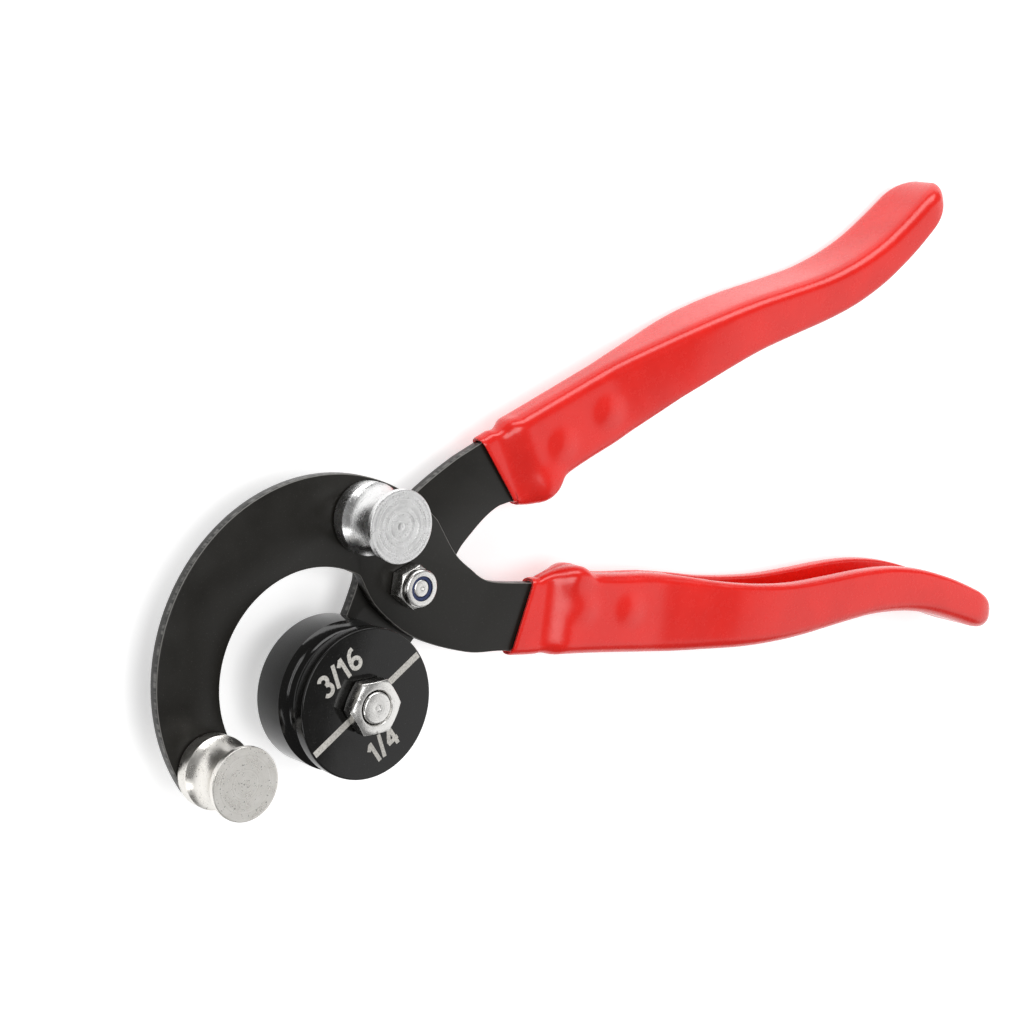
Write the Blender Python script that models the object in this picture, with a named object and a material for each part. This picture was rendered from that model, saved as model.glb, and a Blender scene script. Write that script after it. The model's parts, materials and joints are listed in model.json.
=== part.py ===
"""Tube bending pliers, modelled in Blender 4.5 as separate pieces at real size.

Run with: blender --background --python part.py

The tool lies on its back. +X runs from the jaws to the handle tips, +Z is the
axis of the pivot, the rollers and the die, and the die faces up. Plane places are
measured from the pivot, heights from the front face of the front arm. At the end
the whole tool is set down with its lowest point on Z = 0, centred on the origin.
"""

import math
from dataclasses import dataclass

import bmesh
import bpy
from mathutils import Vector

MM = 0.001

# Clearances shared by every fit
GAP = 0.3 * MM                      # air between two pieces that touch on the tool
OVERRUN = 4.0 * MM                  # how far a cutter runs past what it cuts

# Flat steel arms
PLATE = 3.0 * MM                    # thickness of each arm
PLATE_EDGE = 0.35 * MM              # rounding of the sheared edges

# Pivot, an M6 bolt with a lock nut
PIVOT_SHANK = 3.0 * MM              # radius
PIVOT_HEAD_FLATS = 10.0 * MM
PIVOT_HEAD = 4.0 * MM               # height
PIVOT_WASHER_RADIUS = 6.2 * MM
PIVOT_WASHER = 1.2 * MM             # thickness
PIVOT_NUT_HEX = 4.2 * MM            # height of the hexagon
PIVOT_NUT_COLLAR = 2.0 * MM         # height of the round collar above it
PIVOT_COLLAR_RADIUS = 4.9 * MM
PIVOT_RING_WALL = 1.0 * MM          # nylon ring inside the collar
PIVOT_NUT_TURN = math.radians(12.0)

# Grooved rollers, the same on both ends of the C
ROLLER_RADIUS = 9.25 * MM
ROLLER_LENGTH = 16.0 * MM
ROLLER_WAIST = 6.9 * MM             # radius at the bottom of the groove
ROLLER_REAR_FLANGE = 3.9 * MM
ROLLER_FRONT_FLANGE = 1.3 * MM
ROLLER_SHANK = 4.0 * MM             # radius of the journal in the plate
ROLLER_WASHER_RADIUS = 6.0 * MM
ROLLER_WASHER = 1.0 * MM
ROLLER_PEEN_RADIUS = 5.2 * MM       # end of the journal, riveted over the washer
ROLLER_PEEN = 1.1 * MM

# Forming die on the rear arm
DIE_RADIUS = 19.0 * MM
DIE_THICKNESS = 20.0 * MM
DIE_GROOVE_HEIGHT = 10.3 * MM       # groove centre above the front arm's front face
DIE_EDGE = 0.5 * MM
DIE_LINE_ANGLE = math.radians(26.0)
GROOVE_MOUTH = 3.55 * MM            # half width at the rim, both grooves
SMALL_TUBE = 2.38 * MM              # radius of 3/16 inch tube
LARGE_TUBE = 3.18 * MM              # radius of 1/4 inch tube
SMALL_GROOVE_DEPTH = 3.0 * MM
LARGE_GROOVE_DEPTH = 4.2 * MM

# Die bolt, M8 with a thin nut on the face of the die
DIE_BOLT = 4.0 * MM                 # radius
DIE_BOLT_HEAD = 5.3 * MM
DIE_BOLT_FLATS = 13.0 * MM
DIE_WASHER_RADIUS = 8.0 * MM
DIE_WASHER = 1.4 * MM
DIE_NUT = 4.0 * MM
DIE_NUT_TURN = math.radians(-6.0)

# Places in the plane: the die from the pivot, each roller from the die
DIE_REACH = 34.0 * MM
DIE_ANGLE = math.radians(216.4)
UPPER_TUBE_GAP = 15.8 * MM          # rim of the die to rim of the roller, tool at rest
UPPER_ROLLER_ANGLE = math.radians(67.9)
LOWER_TUBE_GAP = 9.2 * MM
LOWER_ROLLER_ANGLE = math.radians(194.7)

# C of the front arm, two arcs hung from the rollers
C_END_RADIUS = 8.3 * MM             # round end about the lower roller
C_OUTER_CENTRE_SHARES = (0.511, 0.180)  # of the way between the rollers, along and aside
C_INNER_CENTRE_SHARES = (0.459, 0.173)
C_OUTER_STOP = math.radians(35.0)   # where the outer arc meets the neck
C_INNER_STOP = math.radians(52.0)   # where the inner arc meets the throat

# Boss about the pivot; neck outlines are shares of it, X and Y from the pivot
PIVOT_BOSS = 14.0 * MM
FRONT_THROAT_SHARES = ((-0.69, -0.27), (0.04, -1.04), (1.12, -1.62))
FRONT_NECK_SHARES = ((1.84, -0.44), (1.44, -0.09), (1.13, 0.30))
REAR_CROWN_SHARES = ((0.60, 1.55), (0.28, 1.26), (0.00, 1.02), (-0.48, 0.84), (-0.80, 0.52))
REAR_JAW_LEFT_SHARES = ((-0.91, 0.21), (-1.21, -0.28), (-1.47, -0.60))
REAR_JAW_RIGHT_SHARES = ((-0.62, -1.78), (0.09, -1.20), (0.66, -0.74), (1.06, -0.26))
REAR_NECK_SHARES = ((1.36, 0.20), (1.72, 0.48), (2.10, 0.71))
JAW_END_RADIUS = 10.6 * MM          # round end of the rear arm under the die
JAW_END_FROM = math.radians(96.0)
JAW_END_TO = math.radians(292.0)

# Handles, one pressing used twice, its outline in shares of length and depth
HANDLE_LENGTH = 219.0 * MM          # pivot to tip
HANDLE_DEPTH = 21.0 * MM
HANDLE_WIDTH = 20.0 * MM            # across the open part, over the vinyl
HANDLE_LEAN = math.radians(15.7)    # each handle from the centre line
UPPER_HANDLE_BACK = 4.2 * MM        # the upper one sits back along X and out along Y
UPPER_HANDLE_OUT = 1.8 * MM
UPPER_HANDLE_SHORT = 2.4 * MM       # its tip ends this much sooner
CHANNEL_WALL = 1.8 * MM
VINYL = 1.2 * MM
TANG_VINYL = 0.9 * MM                # thinner over the bare tang before the channel
CHANNEL_START_SHARE = 0.224
GRIP_STEP_SHARES = (0.2105, 0.2185)  # where the grip widens over the channel's end
TANG_NECK_SHARE = 0.150
TANG_END_SHARE = 0.386
SLOT_START_SHARE = 0.400
SLOT_NOSE = 5.0 * MM                # solid part of the tip beyond the open slot
TIP_START_SHARE = 0.935
WEB_SHARES = ((0.100, 0.87), (0.180, 0.89), (0.210, 0.875), (0.240, 0.87), (0.334, 0.82),
              (0.402, 0.78), (0.460, 0.735), (0.520, 0.685), (0.575, 0.61), (0.620, 0.525),
              (0.662, 0.425), (0.704, 0.325), (0.740, 0.250), (0.775, 0.208), (0.812, 0.195),
              (0.850, 0.220), (0.895, 0.300), (0.943, 0.410), (1.000, 0.520))
OPEN_SHARES = ((0.100, -0.09), (0.180, -0.09), (0.197, -0.11), (0.219, -0.20), (0.245, -0.255),
               (0.268, -0.235), (0.286, -0.165), (0.320, -0.160), (0.365, -0.165), (0.420, -0.125),
               (0.475, -0.075), (0.533, -0.060), (0.592, -0.090), (0.656, -0.185), (0.710, -0.275),
               (0.755, -0.325), (0.790, -0.330), (0.825, -0.305), (0.860, -0.245), (0.895, -0.165),
               (0.930, -0.060), (0.965, 0.060), (1.000, 0.180))
# Width of the open part over the pinched part, from 0 to 1
FLARE_SHARES = ((0.100, 0.0), (0.375, 0.0), (0.411, 0.16), (0.457, 0.45), (0.502, 0.76),
                (0.550, 0.95), (0.600, 1.0), (0.860, 1.0), (0.935, 0.94), (1.000, 0.90))
STATION_SHARES = (0.200, 0.2105, 0.2185, 0.227, 0.235, 0.246, 0.262, 0.276, 0.290, 0.330, 0.375,
                  0.411, 0.457, 0.502, 0.550, 0.600, 0.650, 0.700, 0.745, 0.790, 0.835, 0.880, 0.915)
TIP_ROUND_SHARES = (0.0, 0.30, 0.56, 0.76, 0.90, 0.975)
TIP_POWER = 2.3
GRIP_CORNER = 4.2 * MM
LIP_CORNER = 1.6 * MM

# Mouth of each dipped grip on its tang, shares of the handle's length
UPPER_MOUTH_SHARES = (0.198, 0.187)  # at the open side, at the web
LOWER_MOUTH_SHARES = (0.1835, 0.1595)

# Rivets through channel and tang
RIVET_SHANK = 2.2 * MM
RIVET_HEAD = 3.3 * MM
RIVET_SINK = 1.0 * MM
UPPER_RIVET_SHARES = (0.282, 0.359)  # along the handle, inner and outer
LOWER_RIVET_SHARES = (0.2585, 0.332)
RIVET_OUT = 5.2 * MM                # out from the handle's line
RIVET_RISE = 0.6 * MM               # the outer rivet sits this much further out
DIMPLE_RADIUS = 5.0 * MM            # hollow in the vinyl over each rivet
DIMPLE_DEPTH = 0.55 * MM

# Facets
ROUND_STEPS = 40
SMALL_STEPS = 24
RIVET_STEPS = 12
ROLLER_GROOVE_STEPS = 6
DIE_GROOVE_STEPS = 4
ARC_STEP = math.radians(7.0)
CURVE_STEPS = 4
CORNER_STEPS = 3
INNER_CORNER_STEPS = 2

# Heights, up from the front face of the front arm
FRONT_BACK = -PLATE
REAR_FRONT = FRONT_BACK - GAP
REAR_BACK = REAR_FRONT - PLATE
DIE_BACK = REAR_FRONT + GAP
DIE_FRONT = DIE_BACK + DIE_THICKNESS
UPPER_MID = REAR_FRONT - PLATE / 2
LOWER_MID = -PLATE / 2
PINCHED_WIDTH = PLATE + 4 * GAP + 2 * CHANNEL_WALL + 2 * VINYL
TANG_GRIP_WIDTH = PLATE + 2 * GAP + 2 * TANG_VINYL


def polar(reach, angle):
    """Point in the plane at a distance and direction from the pivot."""
    return Vector((reach * math.cos(angle), reach * math.sin(angle)))


DIE_AT = polar(DIE_REACH, DIE_ANGLE)
UPPER_ROLLER_AT = DIE_AT + polar(DIE_RADIUS + UPPER_TUBE_GAP + ROLLER_RADIUS, UPPER_ROLLER_ANGLE)
LOWER_ROLLER_AT = DIE_AT + polar(DIE_RADIUS + LOWER_TUBE_GAP + ROLLER_RADIUS, LOWER_ROLLER_ANGLE)
PIVOT_AT = Vector((0.0, 0.0))


@dataclass(frozen=True)
class Finish:
    """Colour, roughness and metallic value of one material."""

    name: str
    colour: tuple
    roughness: float
    metallic: float


BLACK_STEEL = Finish("black_steel", (0.024, 0.023, 0.021), 0.42, 0.55)
BLACK_DIE = Finish("black_die", (0.026, 0.025, 0.024), 0.24, 0.65)
ZINC = Finish("zinc_plate", (0.78, 0.79, 0.80), 0.26, 1.0)
RED_VINYL = Finish("red_vinyl", (0.74, 0.035, 0.022), 0.22, 0.0)
BLUE_NYLON = Finish("blue_nylon", (0.02, 0.05, 0.22), 0.45, 0.0)
GREY_STEEL = Finish("bare_steel", (0.42, 0.42, 0.43), 0.40, 1.0)


@dataclass(frozen=True)
class HandlePlace:
    """Where one handle lies: its line in the plane, its mid height and its side."""

    back: float
    out: float
    side: int
    mid: float
    mouth: tuple
    rivets: tuple
    shortened: float

    def plane(self, along, across):
        """Plane point at a length along the handle and a distance towards its web."""
        x = -self.back + along * math.cos(HANDLE_LEAN) - across * math.sin(HANDLE_LEAN)
        y = self.out + along * math.sin(HANDLE_LEAN) + across * math.cos(HANDLE_LEAN)
        return Vector((x, self.side * y))

    def point(self, along, across, rise):
        """Space point, with rise measured from the handle's middle plane."""
        flat = self.plane(along, across)
        return Vector((flat.x, flat.y, self.mid + rise))


UPPER = HandlePlace(UPPER_HANDLE_BACK, UPPER_HANDLE_OUT, 1, UPPER_MID,
                    UPPER_MOUTH_SHARES, UPPER_RIVET_SHARES, UPPER_HANDLE_SHORT)
LOWER = HandlePlace(0.0, 0.0, -1, LOWER_MID, LOWER_MOUTH_SHARES, LOWER_RIVET_SHARES, 0.0)


def clear_scene():
    """Remove whatever the file holds."""
    for item in list(bpy.data.objects):
        bpy.data.objects.remove(item, do_unlink=True)


def make_material(finish):
    """Principled material for one finish."""
    material = bpy.data.materials.get(finish.name) or bpy.data.materials.new(finish.name)
    material.use_nodes = True
    shader = material.node_tree.nodes["Principled BSDF"]
    shader.inputs["Base Color"].default_value = (*finish.colour, 1.0)
    shader.inputs["Roughness"].default_value = finish.roughness
    shader.inputs["Metallic"].default_value = finish.metallic
    material.diffuse_color = (*finish.colour, 1.0)
    return material


def mesh_object(name, points, faces, finish=None):
    """Object from points and faces, with its faces turned outwards."""
    mesh = bpy.data.meshes.new(name)
    mesh.from_pydata([tuple(p) for p in points], [], faces)
    shape = bmesh.new()
    shape.from_mesh(mesh)
    bmesh.ops.recalc_face_normals(shape, faces=shape.faces)
    shape.to_mesh(mesh)
    shape.free()
    item = bpy.data.objects.new(name, mesh)
    bpy.context.scene.collection.objects.link(item)
    if finish:
        mesh.materials.append(make_material(finish))
    return item


def loft(name, rings, finish=None):
    """Closed body through rings of as many points each, capped at both ends."""
    count = len(rings[0])
    points = [p for ring in rings for p in ring]
    faces = []
    for row in range(len(rings) - 1):
        for k in range(count):
            a, b = row * count + k, row * count + (k + 1) % count
            faces.append((a, b, b + count, a + count))
    faces.append(tuple(range(count)))
    faces.append(tuple(range(len(points) - count, len(points))))
    return mesh_object(name, points, faces, finish)


def turned(name, centre, profile, steps, finish=None, sweep=math.tau, start=0.0):
    """Body turned about an upright axis from (radius, height) points, axis to axis."""
    whole = sweep > math.tau - ARC_STEP / 2
    columns = steps if whole else steps + 1
    points, index = [], []
    for radius, height in profile:
        row = []
        for k in range(columns):
            if radius == 0.0 and k:
                row.append(row[0])
                continue
            angle = start + sweep * k / steps
            row.append(len(points))
            points.append((centre.x + radius * math.cos(angle),
                           centre.y + radius * math.sin(angle), height))
        index.append(row)
    faces = []
    for low, high in zip(index, index[1:]):
        for k in range(steps):
            j = (k + 1) % columns
            corner = (low[k], low[j], high[j], high[k])
            face = tuple(dict.fromkeys(corner))
            if len(face) > 2:
                faces.append(face)
    return mesh_object(name, points, faces, finish)


def tube_turned(name, centre, profile, steps, finish=None, sweep=math.tau, start=0.0):
    """Ring turned from a closed (radius, height) outline that stays off the axis."""
    item = turned(name, centre, profile + profile[:1], steps, None, sweep, start)
    shape = bmesh.new()
    shape.from_mesh(item.data)
    bmesh.ops.remove_doubles(shape, verts=shape.verts, dist=GAP / 100)
    edges = [e for e in shape.edges if e.is_boundary]
    if edges:
        bmesh.ops.holes_fill(shape, edges=edges, sides=0)
    bmesh.ops.recalc_face_normals(shape, faces=shape.faces)
    shape.to_mesh(item.data)
    shape.free()
    if finish:
        item.data.materials.append(make_material(finish))
    return item


def carve(item, cutters):
    """Cut the given bodies out of an object and drop them."""
    for cutter in cutters:
        cut = item.modifiers.new("cut", "BOOLEAN")
        cut.operation = "DIFFERENCE"
        cut.object = cutter
        cutter.hide_render = True
        cutter.display_type = "WIRE"
    bake(item)
    for cutter in cutters:
        bpy.data.objects.remove(cutter, do_unlink=True)
    return item


def bake(item):
    """Replace an object's mesh with what its modifiers make of it."""
    bpy.context.view_layer.update()
    graph = bpy.context.evaluated_depsgraph_get()
    mesh = bpy.data.meshes.new_from_object(item.evaluated_get(graph))
    item.modifiers.clear()
    item.data = mesh
    mesh.name = item.name


def rod(name, centre, radius, low, high, steps=SMALL_STEPS, finish=None):
    """Plain round rod between two heights."""
    return turned(name, centre, [(0.0, low), (radius, low), (radius, high), (0.0, high)], steps, finish)


def arc(centre, radius, start, stop):
    """Points on an arc from one direction to another, either way round."""
    steps = max(2, round(abs(stop - start) / ARC_STEP))
    return [centre + polar(radius, start + (stop - start) * k / steps) for k in range(steps + 1)]


def flowing(points, before, after):
    """Smooth curve through points, led in and out by a neighbour on each side."""
    run = [before] + points + [after]
    made = [points[0]]
    for a, b, c, d in zip(run, run[1:], run[2:], run[3:]):
        for k in range(1, CURVE_STEPS + 1):
            t = k / CURVE_STEPS
            made.append(0.5 * ((2 * b) + (c - a) * t + (2 * a - 5 * b + 4 * c - d) * t * t
                               + (3 * b - a - 3 * c + d) * t ** 3))
    return made


def beside_rollers(shares):
    """Point given as shares of the line between the rollers, along it and towards the die."""
    line = UPPER_ROLLER_AT - LOWER_ROLLER_AT
    return LOWER_ROLLER_AT + line * shares[0] + Vector((line.y, -line.x)) * shares[1]


def direction(vector):
    """Angle of a plane vector from 0 to a full turn."""
    return math.atan2(vector.y, vector.x) % math.tau


def blend(table, share):
    """Smooth value at a share of the length, from (share, value) pairs."""
    if share <= table[0][0]:
        return table[0][1]
    for k in range(len(table) - 1):
        (x0, y0), (x1, y1) = table[k], table[k + 1]
        if share <= x1:
            break
    else:
        return table[-1][1]
    xa, ya = table[max(k - 1, 0)]
    xb, yb = table[min(k + 2, len(table) - 1)]
    slope0 = (y1 - ya) / (x1 - xa)
    slope1 = (yb - y0) / (xb - x0)
    width = x1 - x0
    t = (share - x0) / width
    return ((2 * t ** 3 - 3 * t * t + 1) * y0 + (t ** 3 - 2 * t * t + t) * width * slope0
            + (3 * t * t - 2 * t ** 3) * y1 + (t ** 3 - t * t) * width * slope1)


def web_line(along):
    """Outer edge of the grip at a length along the handle, over the vinyl."""
    return HANDLE_DEPTH * blend(WEB_SHARES, along / HANDLE_LENGTH)


def open_line(along):
    """Edge of the grip towards the other handle, over the vinyl."""
    return HANDLE_DEPTH * blend(OPEN_SHARES, along / HANDLE_LENGTH)


def half_width(along):
    """Half the width of the grip over the vinyl."""
    share = along / HANDLE_LENGTH
    flare = min(max(blend(FLARE_SHARES, share), 0.0), 1.0)
    wide = PINCHED_WIDTH + (HANDLE_WIDTH - PINCHED_WIDTH) * flare
    foot, top = GRIP_STEP_SHARES
    step = min(max((share - foot) / (top - foot), 0.0), 1.0)
    return (TANG_GRIP_WIDTH + (wide - TANG_GRIP_WIDTH) * step) / 2


def corner_points(edge, half, side, corner, steps=CORNER_STEPS):
    """Round corner of a section, from its side face to its edge face."""
    made = []
    for k in range(steps + 1):
        swing = math.radians(90.0) * k / steps
        made.append((edge - corner * (1 - math.sin(swing)), side * (half - abs(corner) * (1 - math.cos(swing)))))
    return made


def box_section(low, high, half, wall):
    """Rounded box as (across, rise) points; the open side has the smaller corners."""
    room = min(half, (high - low) / 2) - GAP
    web, lip = min(GRIP_CORNER - wall, room), min(LIP_CORNER, room)
    return (corner_points(high, half, 1, web) + corner_points(high, half, -1, web)[::-1]
            + corner_points(low, half, -1, -lip) + corner_points(low, half, 1, -lip)[::-1])


def channel_section(low, high, half, wall, corner):
    """U open towards the low side, as (across, rise) points."""
    corner = min(corner, half - wall - GAP / 2)
    inner = max(corner - wall, GAP / 2)
    inner_half = half - wall
    ring = []
    for edge, reach, radius, first in ((high, half, corner, 1), (high - wall, inner_half, inner, -1)):
        ring += [(low, first * reach)] + corner_points(edge, reach, first, radius, INNER_CORNER_STEPS)
        ring += corner_points(edge, reach, -first, radius, INNER_CORNER_STEPS)[::-1]
        ring += [(low, -first * reach)]
    return ring


def handle_rings(place, start, inset, section, nose=0.0):
    """Sections along a handle, set in from the outside of the vinyl, to a round tip.

    nose sets the tip back, and the stations half as far, between those of the body it cuts.
    """
    tip = HANDLE_LENGTH - place.shortened - inset - nose
    shoulder = tip - HANDLE_LENGTH * (1 - TIP_START_SHARE)
    stations = [start] + [HANDLE_LENGTH * s - nose / 2 for s in STATION_SHARES
                          if start + GAP < HANDLE_LENGTH * s - nose / 2 < shoulder - GAP]
    run = [(s, 1.0) for s in stations]
    run += [(shoulder + (tip - shoulder) * s, (1 - s ** TIP_POWER) ** (1 / TIP_POWER))
            for s in TIP_ROUND_SHARES]
    rings = []
    for along, scale in run:
        open_part = along if inset == 0.0 else max(along, HANDLE_LENGTH * CHANNEL_START_SHARE)
        high, low = web_line(along) - inset, open_line(along) + inset
        middle, reach = (high + low) / 2, (high - low) / 2 * scale
        half = (half_width(open_part) - inset) * scale
        rings.append([place.point(along, across, rise)
                      for across, rise in section(middle - reach, middle + reach, half)])
    return rings


def solid_handle(place, name, finish):
    """Outside of the vinyl from before its mouth to the tip."""
    return loft(name, handle_rings(place, HANDLE_LENGTH * TANG_NECK_SHARE, 0.0,
                                   lambda low, high, half: box_section(low, high, half, 0.0)), finish)


def channel_handle(place, name, start, inset, wall, finish=None):
    """U-shaped pressing along the handle, its nose left open at the very tip."""
    rings = handle_rings(place, start, inset, lambda low, high, half: channel_section(
        low, high, half, wall, GRIP_CORNER - inset))
    return loft(name, rings[:-1], finish)


def slot_handle(place, name, inset):
    """Room inside the U, run out of its open side."""
    return loft(name, handle_rings(place, HANDLE_LENGTH * SLOT_START_SHARE, inset,
                                   lambda low, high, half: box_section(low - inset - OVERRUN, high, half,
                                                                       GRIP_CORNER - LIP_CORNER), SLOT_NOSE))


def tang_outline(place):
    """Edges of the tang inside its handle: the web side out, then the open side back."""
    skin = TANG_VINYL + GAP
    neck = HANDLE_LENGTH * TANG_NECK_SHARE
    shoulder = HANDLE_LENGTH * CHANNEL_START_SHARE - GAP
    end = HANDLE_LENGTH * TANG_END_SHARE
    inside = VINYL + 2 * GAP + CHANNEL_WALL
    corner = CHANNEL_WALL
    web = [place.plane(neck, web_line(neck) - skin),
           place.plane(shoulder, web_line(shoulder) - skin),
           place.plane(shoulder, web_line(shoulder) - inside),
           place.plane(end - corner, web_line(end) - inside),
           place.plane(end, web_line(end) - inside - corner)]
    back = [end] + [HANDLE_LENGTH * s for s in (0.320, 0.286, 0.268, 0.232)]
    edge = [place.plane(s, open_line(s) + VINYL + 2 * GAP) for s in back]
    edge += [place.plane(HANDLE_LENGTH * s, open_line(HANDLE_LENGTH * s) + skin) for s in (0.208, 0.180)]
    return web, edge


def plate(name, outline, low, finish, bores):
    """Flat arm from its outline, with bored holes given as (place, radius)."""
    count = len(outline)
    points = [(p.x, p.y, low) for p in outline] + [(p.x, p.y, low + PLATE) for p in outline]
    faces = [tuple(range(count)), tuple(range(count, 2 * count))]
    for k in range(count):
        j = (k + 1) % count
        faces.append((k, j, count + j, count + k))
    item = mesh_object(name, points, faces, finish)
    edge = item.modifiers.new("edge", "BEVEL")
    edge.width = PLATE_EDGE
    edge.segments = 1
    edge.limit_method = "ANGLE"
    edge.angle_limit = math.radians(60.0)
    bake(item)
    cutters = [rod("bore", at, radius, low - OVERRUN, low + PLATE + OVERRUN) for at, radius in bores]
    return carve(item, cutters)


def rivet_places(place):
    """The two rivets of a handle, as plane points."""
    inner = place.plane(HANDLE_LENGTH * place.rivets[0], RIVET_OUT)
    outer = place.plane(HANDLE_LENGTH * place.rivets[1], RIVET_OUT + RIVET_RISE)
    return inner, outer


def shares_of_boss(shares):
    """Plane points from shares of the pivot boss."""
    return [Vector((x, y)) * PIVOT_BOSS for x, y in shares]


def make_front_arm():
    """C-shaped arm that carries both rollers and the lower handle."""
    outer = beside_rollers(C_OUTER_CENTRE_SHARES)
    inner = beside_rollers(C_INNER_CENTRE_SHARES)
    outer_radius = (LOWER_ROLLER_AT - outer).length + C_END_RADIUS
    inner_radius = (LOWER_ROLLER_AT - inner).length - C_END_RADIUS
    outer_turn = direction(LOWER_ROLLER_AT - outer)
    inner_turn = direction(LOWER_ROLLER_AT - inner)
    big_arc = arc(outer, outer_radius, C_OUTER_STOP, outer_turn)
    end_arc = arc(LOWER_ROLLER_AT, C_END_RADIUS, outer_turn, inner_turn + math.pi)
    small_arc = arc(inner, inner_radius, inner_turn, C_INNER_STOP)
    web, edge = tang_outline(LOWER)
    throat = flowing([small_arc[-1]] + shares_of_boss(FRONT_THROAT_SHARES) + web[:1],
                     small_arc[-2], web[1])
    neck = flowing(edge[-1:] + shares_of_boss(FRONT_NECK_SHARES) + big_arc[:1], edge[-2], big_arc[1])
    outline = (big_arc + end_arc[1:-1] + small_arc + throat[1:] + web[1:] + edge + neck[1:-1])
    bores = [(PIVOT_AT, PIVOT_SHANK + GAP),
             (UPPER_ROLLER_AT, ROLLER_SHANK + GAP), (LOWER_ROLLER_AT, ROLLER_SHANK + GAP)]
    bores += [(at, RIVET_SHANK + GAP) for at in rivet_places(LOWER)]
    return plate("front_arm", outline, FRONT_BACK, BLACK_STEEL, bores)


def make_rear_arm():
    """Arm behind the first one, with the die's jaw and the upper handle."""
    web, edge = tang_outline(UPPER)
    end_arc = arc(DIE_AT, JAW_END_RADIUS, JAW_END_FROM, JAW_END_TO)
    left = flowing(web[:1] + shares_of_boss(REAR_CROWN_SHARES) + shares_of_boss(REAR_JAW_LEFT_SHARES)
                   + end_arc[:1], web[1], end_arc[1])
    right = flowing(end_arc[-1:] + shares_of_boss(REAR_JAW_RIGHT_SHARES)
                    + shares_of_boss(REAR_NECK_SHARES) + edge[-1:], end_arc[-2], edge[-2])
    outline = list(reversed(web[1:])) + left + end_arc[1:-1] + right + list(reversed(edge[:-1]))
    bores = [(PIVOT_AT, PIVOT_SHANK + GAP), (DIE_AT, DIE_BOLT + GAP)]
    bores += [(at, RIVET_SHANK + GAP) for at in rivet_places(UPPER)]
    return plate("rear_arm", outline, REAR_BACK, BLACK_STEEL, bores)


def hex_ring(centre, flats, height, turn):
    """Six corners of a hexagon at one height."""
    reach = flats / math.sqrt(3)
    return [(centre.x + reach * math.cos(turn + math.radians(60.0) * k),
             centre.y + reach * math.sin(turn + math.radians(60.0) * k), height) for k in range(6)]


def hex_block(name, centre, flats, low, high, turn, finish, chamfer_low=True, chamfer_high=True):
    """Hexagon with turned corners, as a nut or bolt head has."""
    item = loft(name, [hex_ring(centre, flats, low, turn), hex_ring(centre, flats, high, turn)], finish)
    reach = flats / math.sqrt(3)
    drop = (reach - flats / 2) / math.sqrt(3)
    profile = [(0.0, low - OVERRUN), (reach + OVERRUN, low - OVERRUN), (reach + OVERRUN, high + OVERRUN),
               (0.0, high + OVERRUN)]
    inner = [(0.0, low - OVERRUN / 2)]
    inner += [(flats / 2, low - OVERRUN / 2), (flats / 2, low), (reach + GAP, low + drop)] if chamfer_low \
        else [(reach + GAP, low - OVERRUN / 2)]
    inner += [(reach + GAP, high - drop), (flats / 2, high), (flats / 2, high + OVERRUN / 2)] \
        if chamfer_high else [(reach + GAP, high + OVERRUN / 2)]
    inner += [(0.0, high + OVERRUN / 2)]
    keep = turned("keep", centre, inner, SMALL_STEPS)
    shell = carve(turned("shell", centre, profile, SMALL_STEPS), [keep])
    return carve(item, [shell])


def bolt(name, centre, shank, head_flats, head, under_head, top, turn, finish):
    """Hexagon bolt pointing up, its shank ending in a chamfer."""
    block = hex_block(name, centre, head_flats, under_head - head, under_head, turn, finish,
                      chamfer_high=False)
    tip = shank / 8
    body = turned("shank", centre, [(0.0, under_head - head / 2), (shank, under_head - head / 2),
                                    (shank, top - tip), (shank - tip, top), (0.0, top)], SMALL_STEPS)
    join = block.modifiers.new("join", "BOOLEAN")
    join.operation = "UNION"
    join.object = body
    bake(block)
    bpy.data.objects.remove(body, do_unlink=True)
    return block


def washer(name, centre, bore, radius, low, thickness, finish):
    """Flat round washer."""
    return tube_turned(name, centre, [(bore, low), (radius, low), (radius, low + thickness),
                                      (bore, low + thickness)], SMALL_STEPS, finish)


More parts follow.
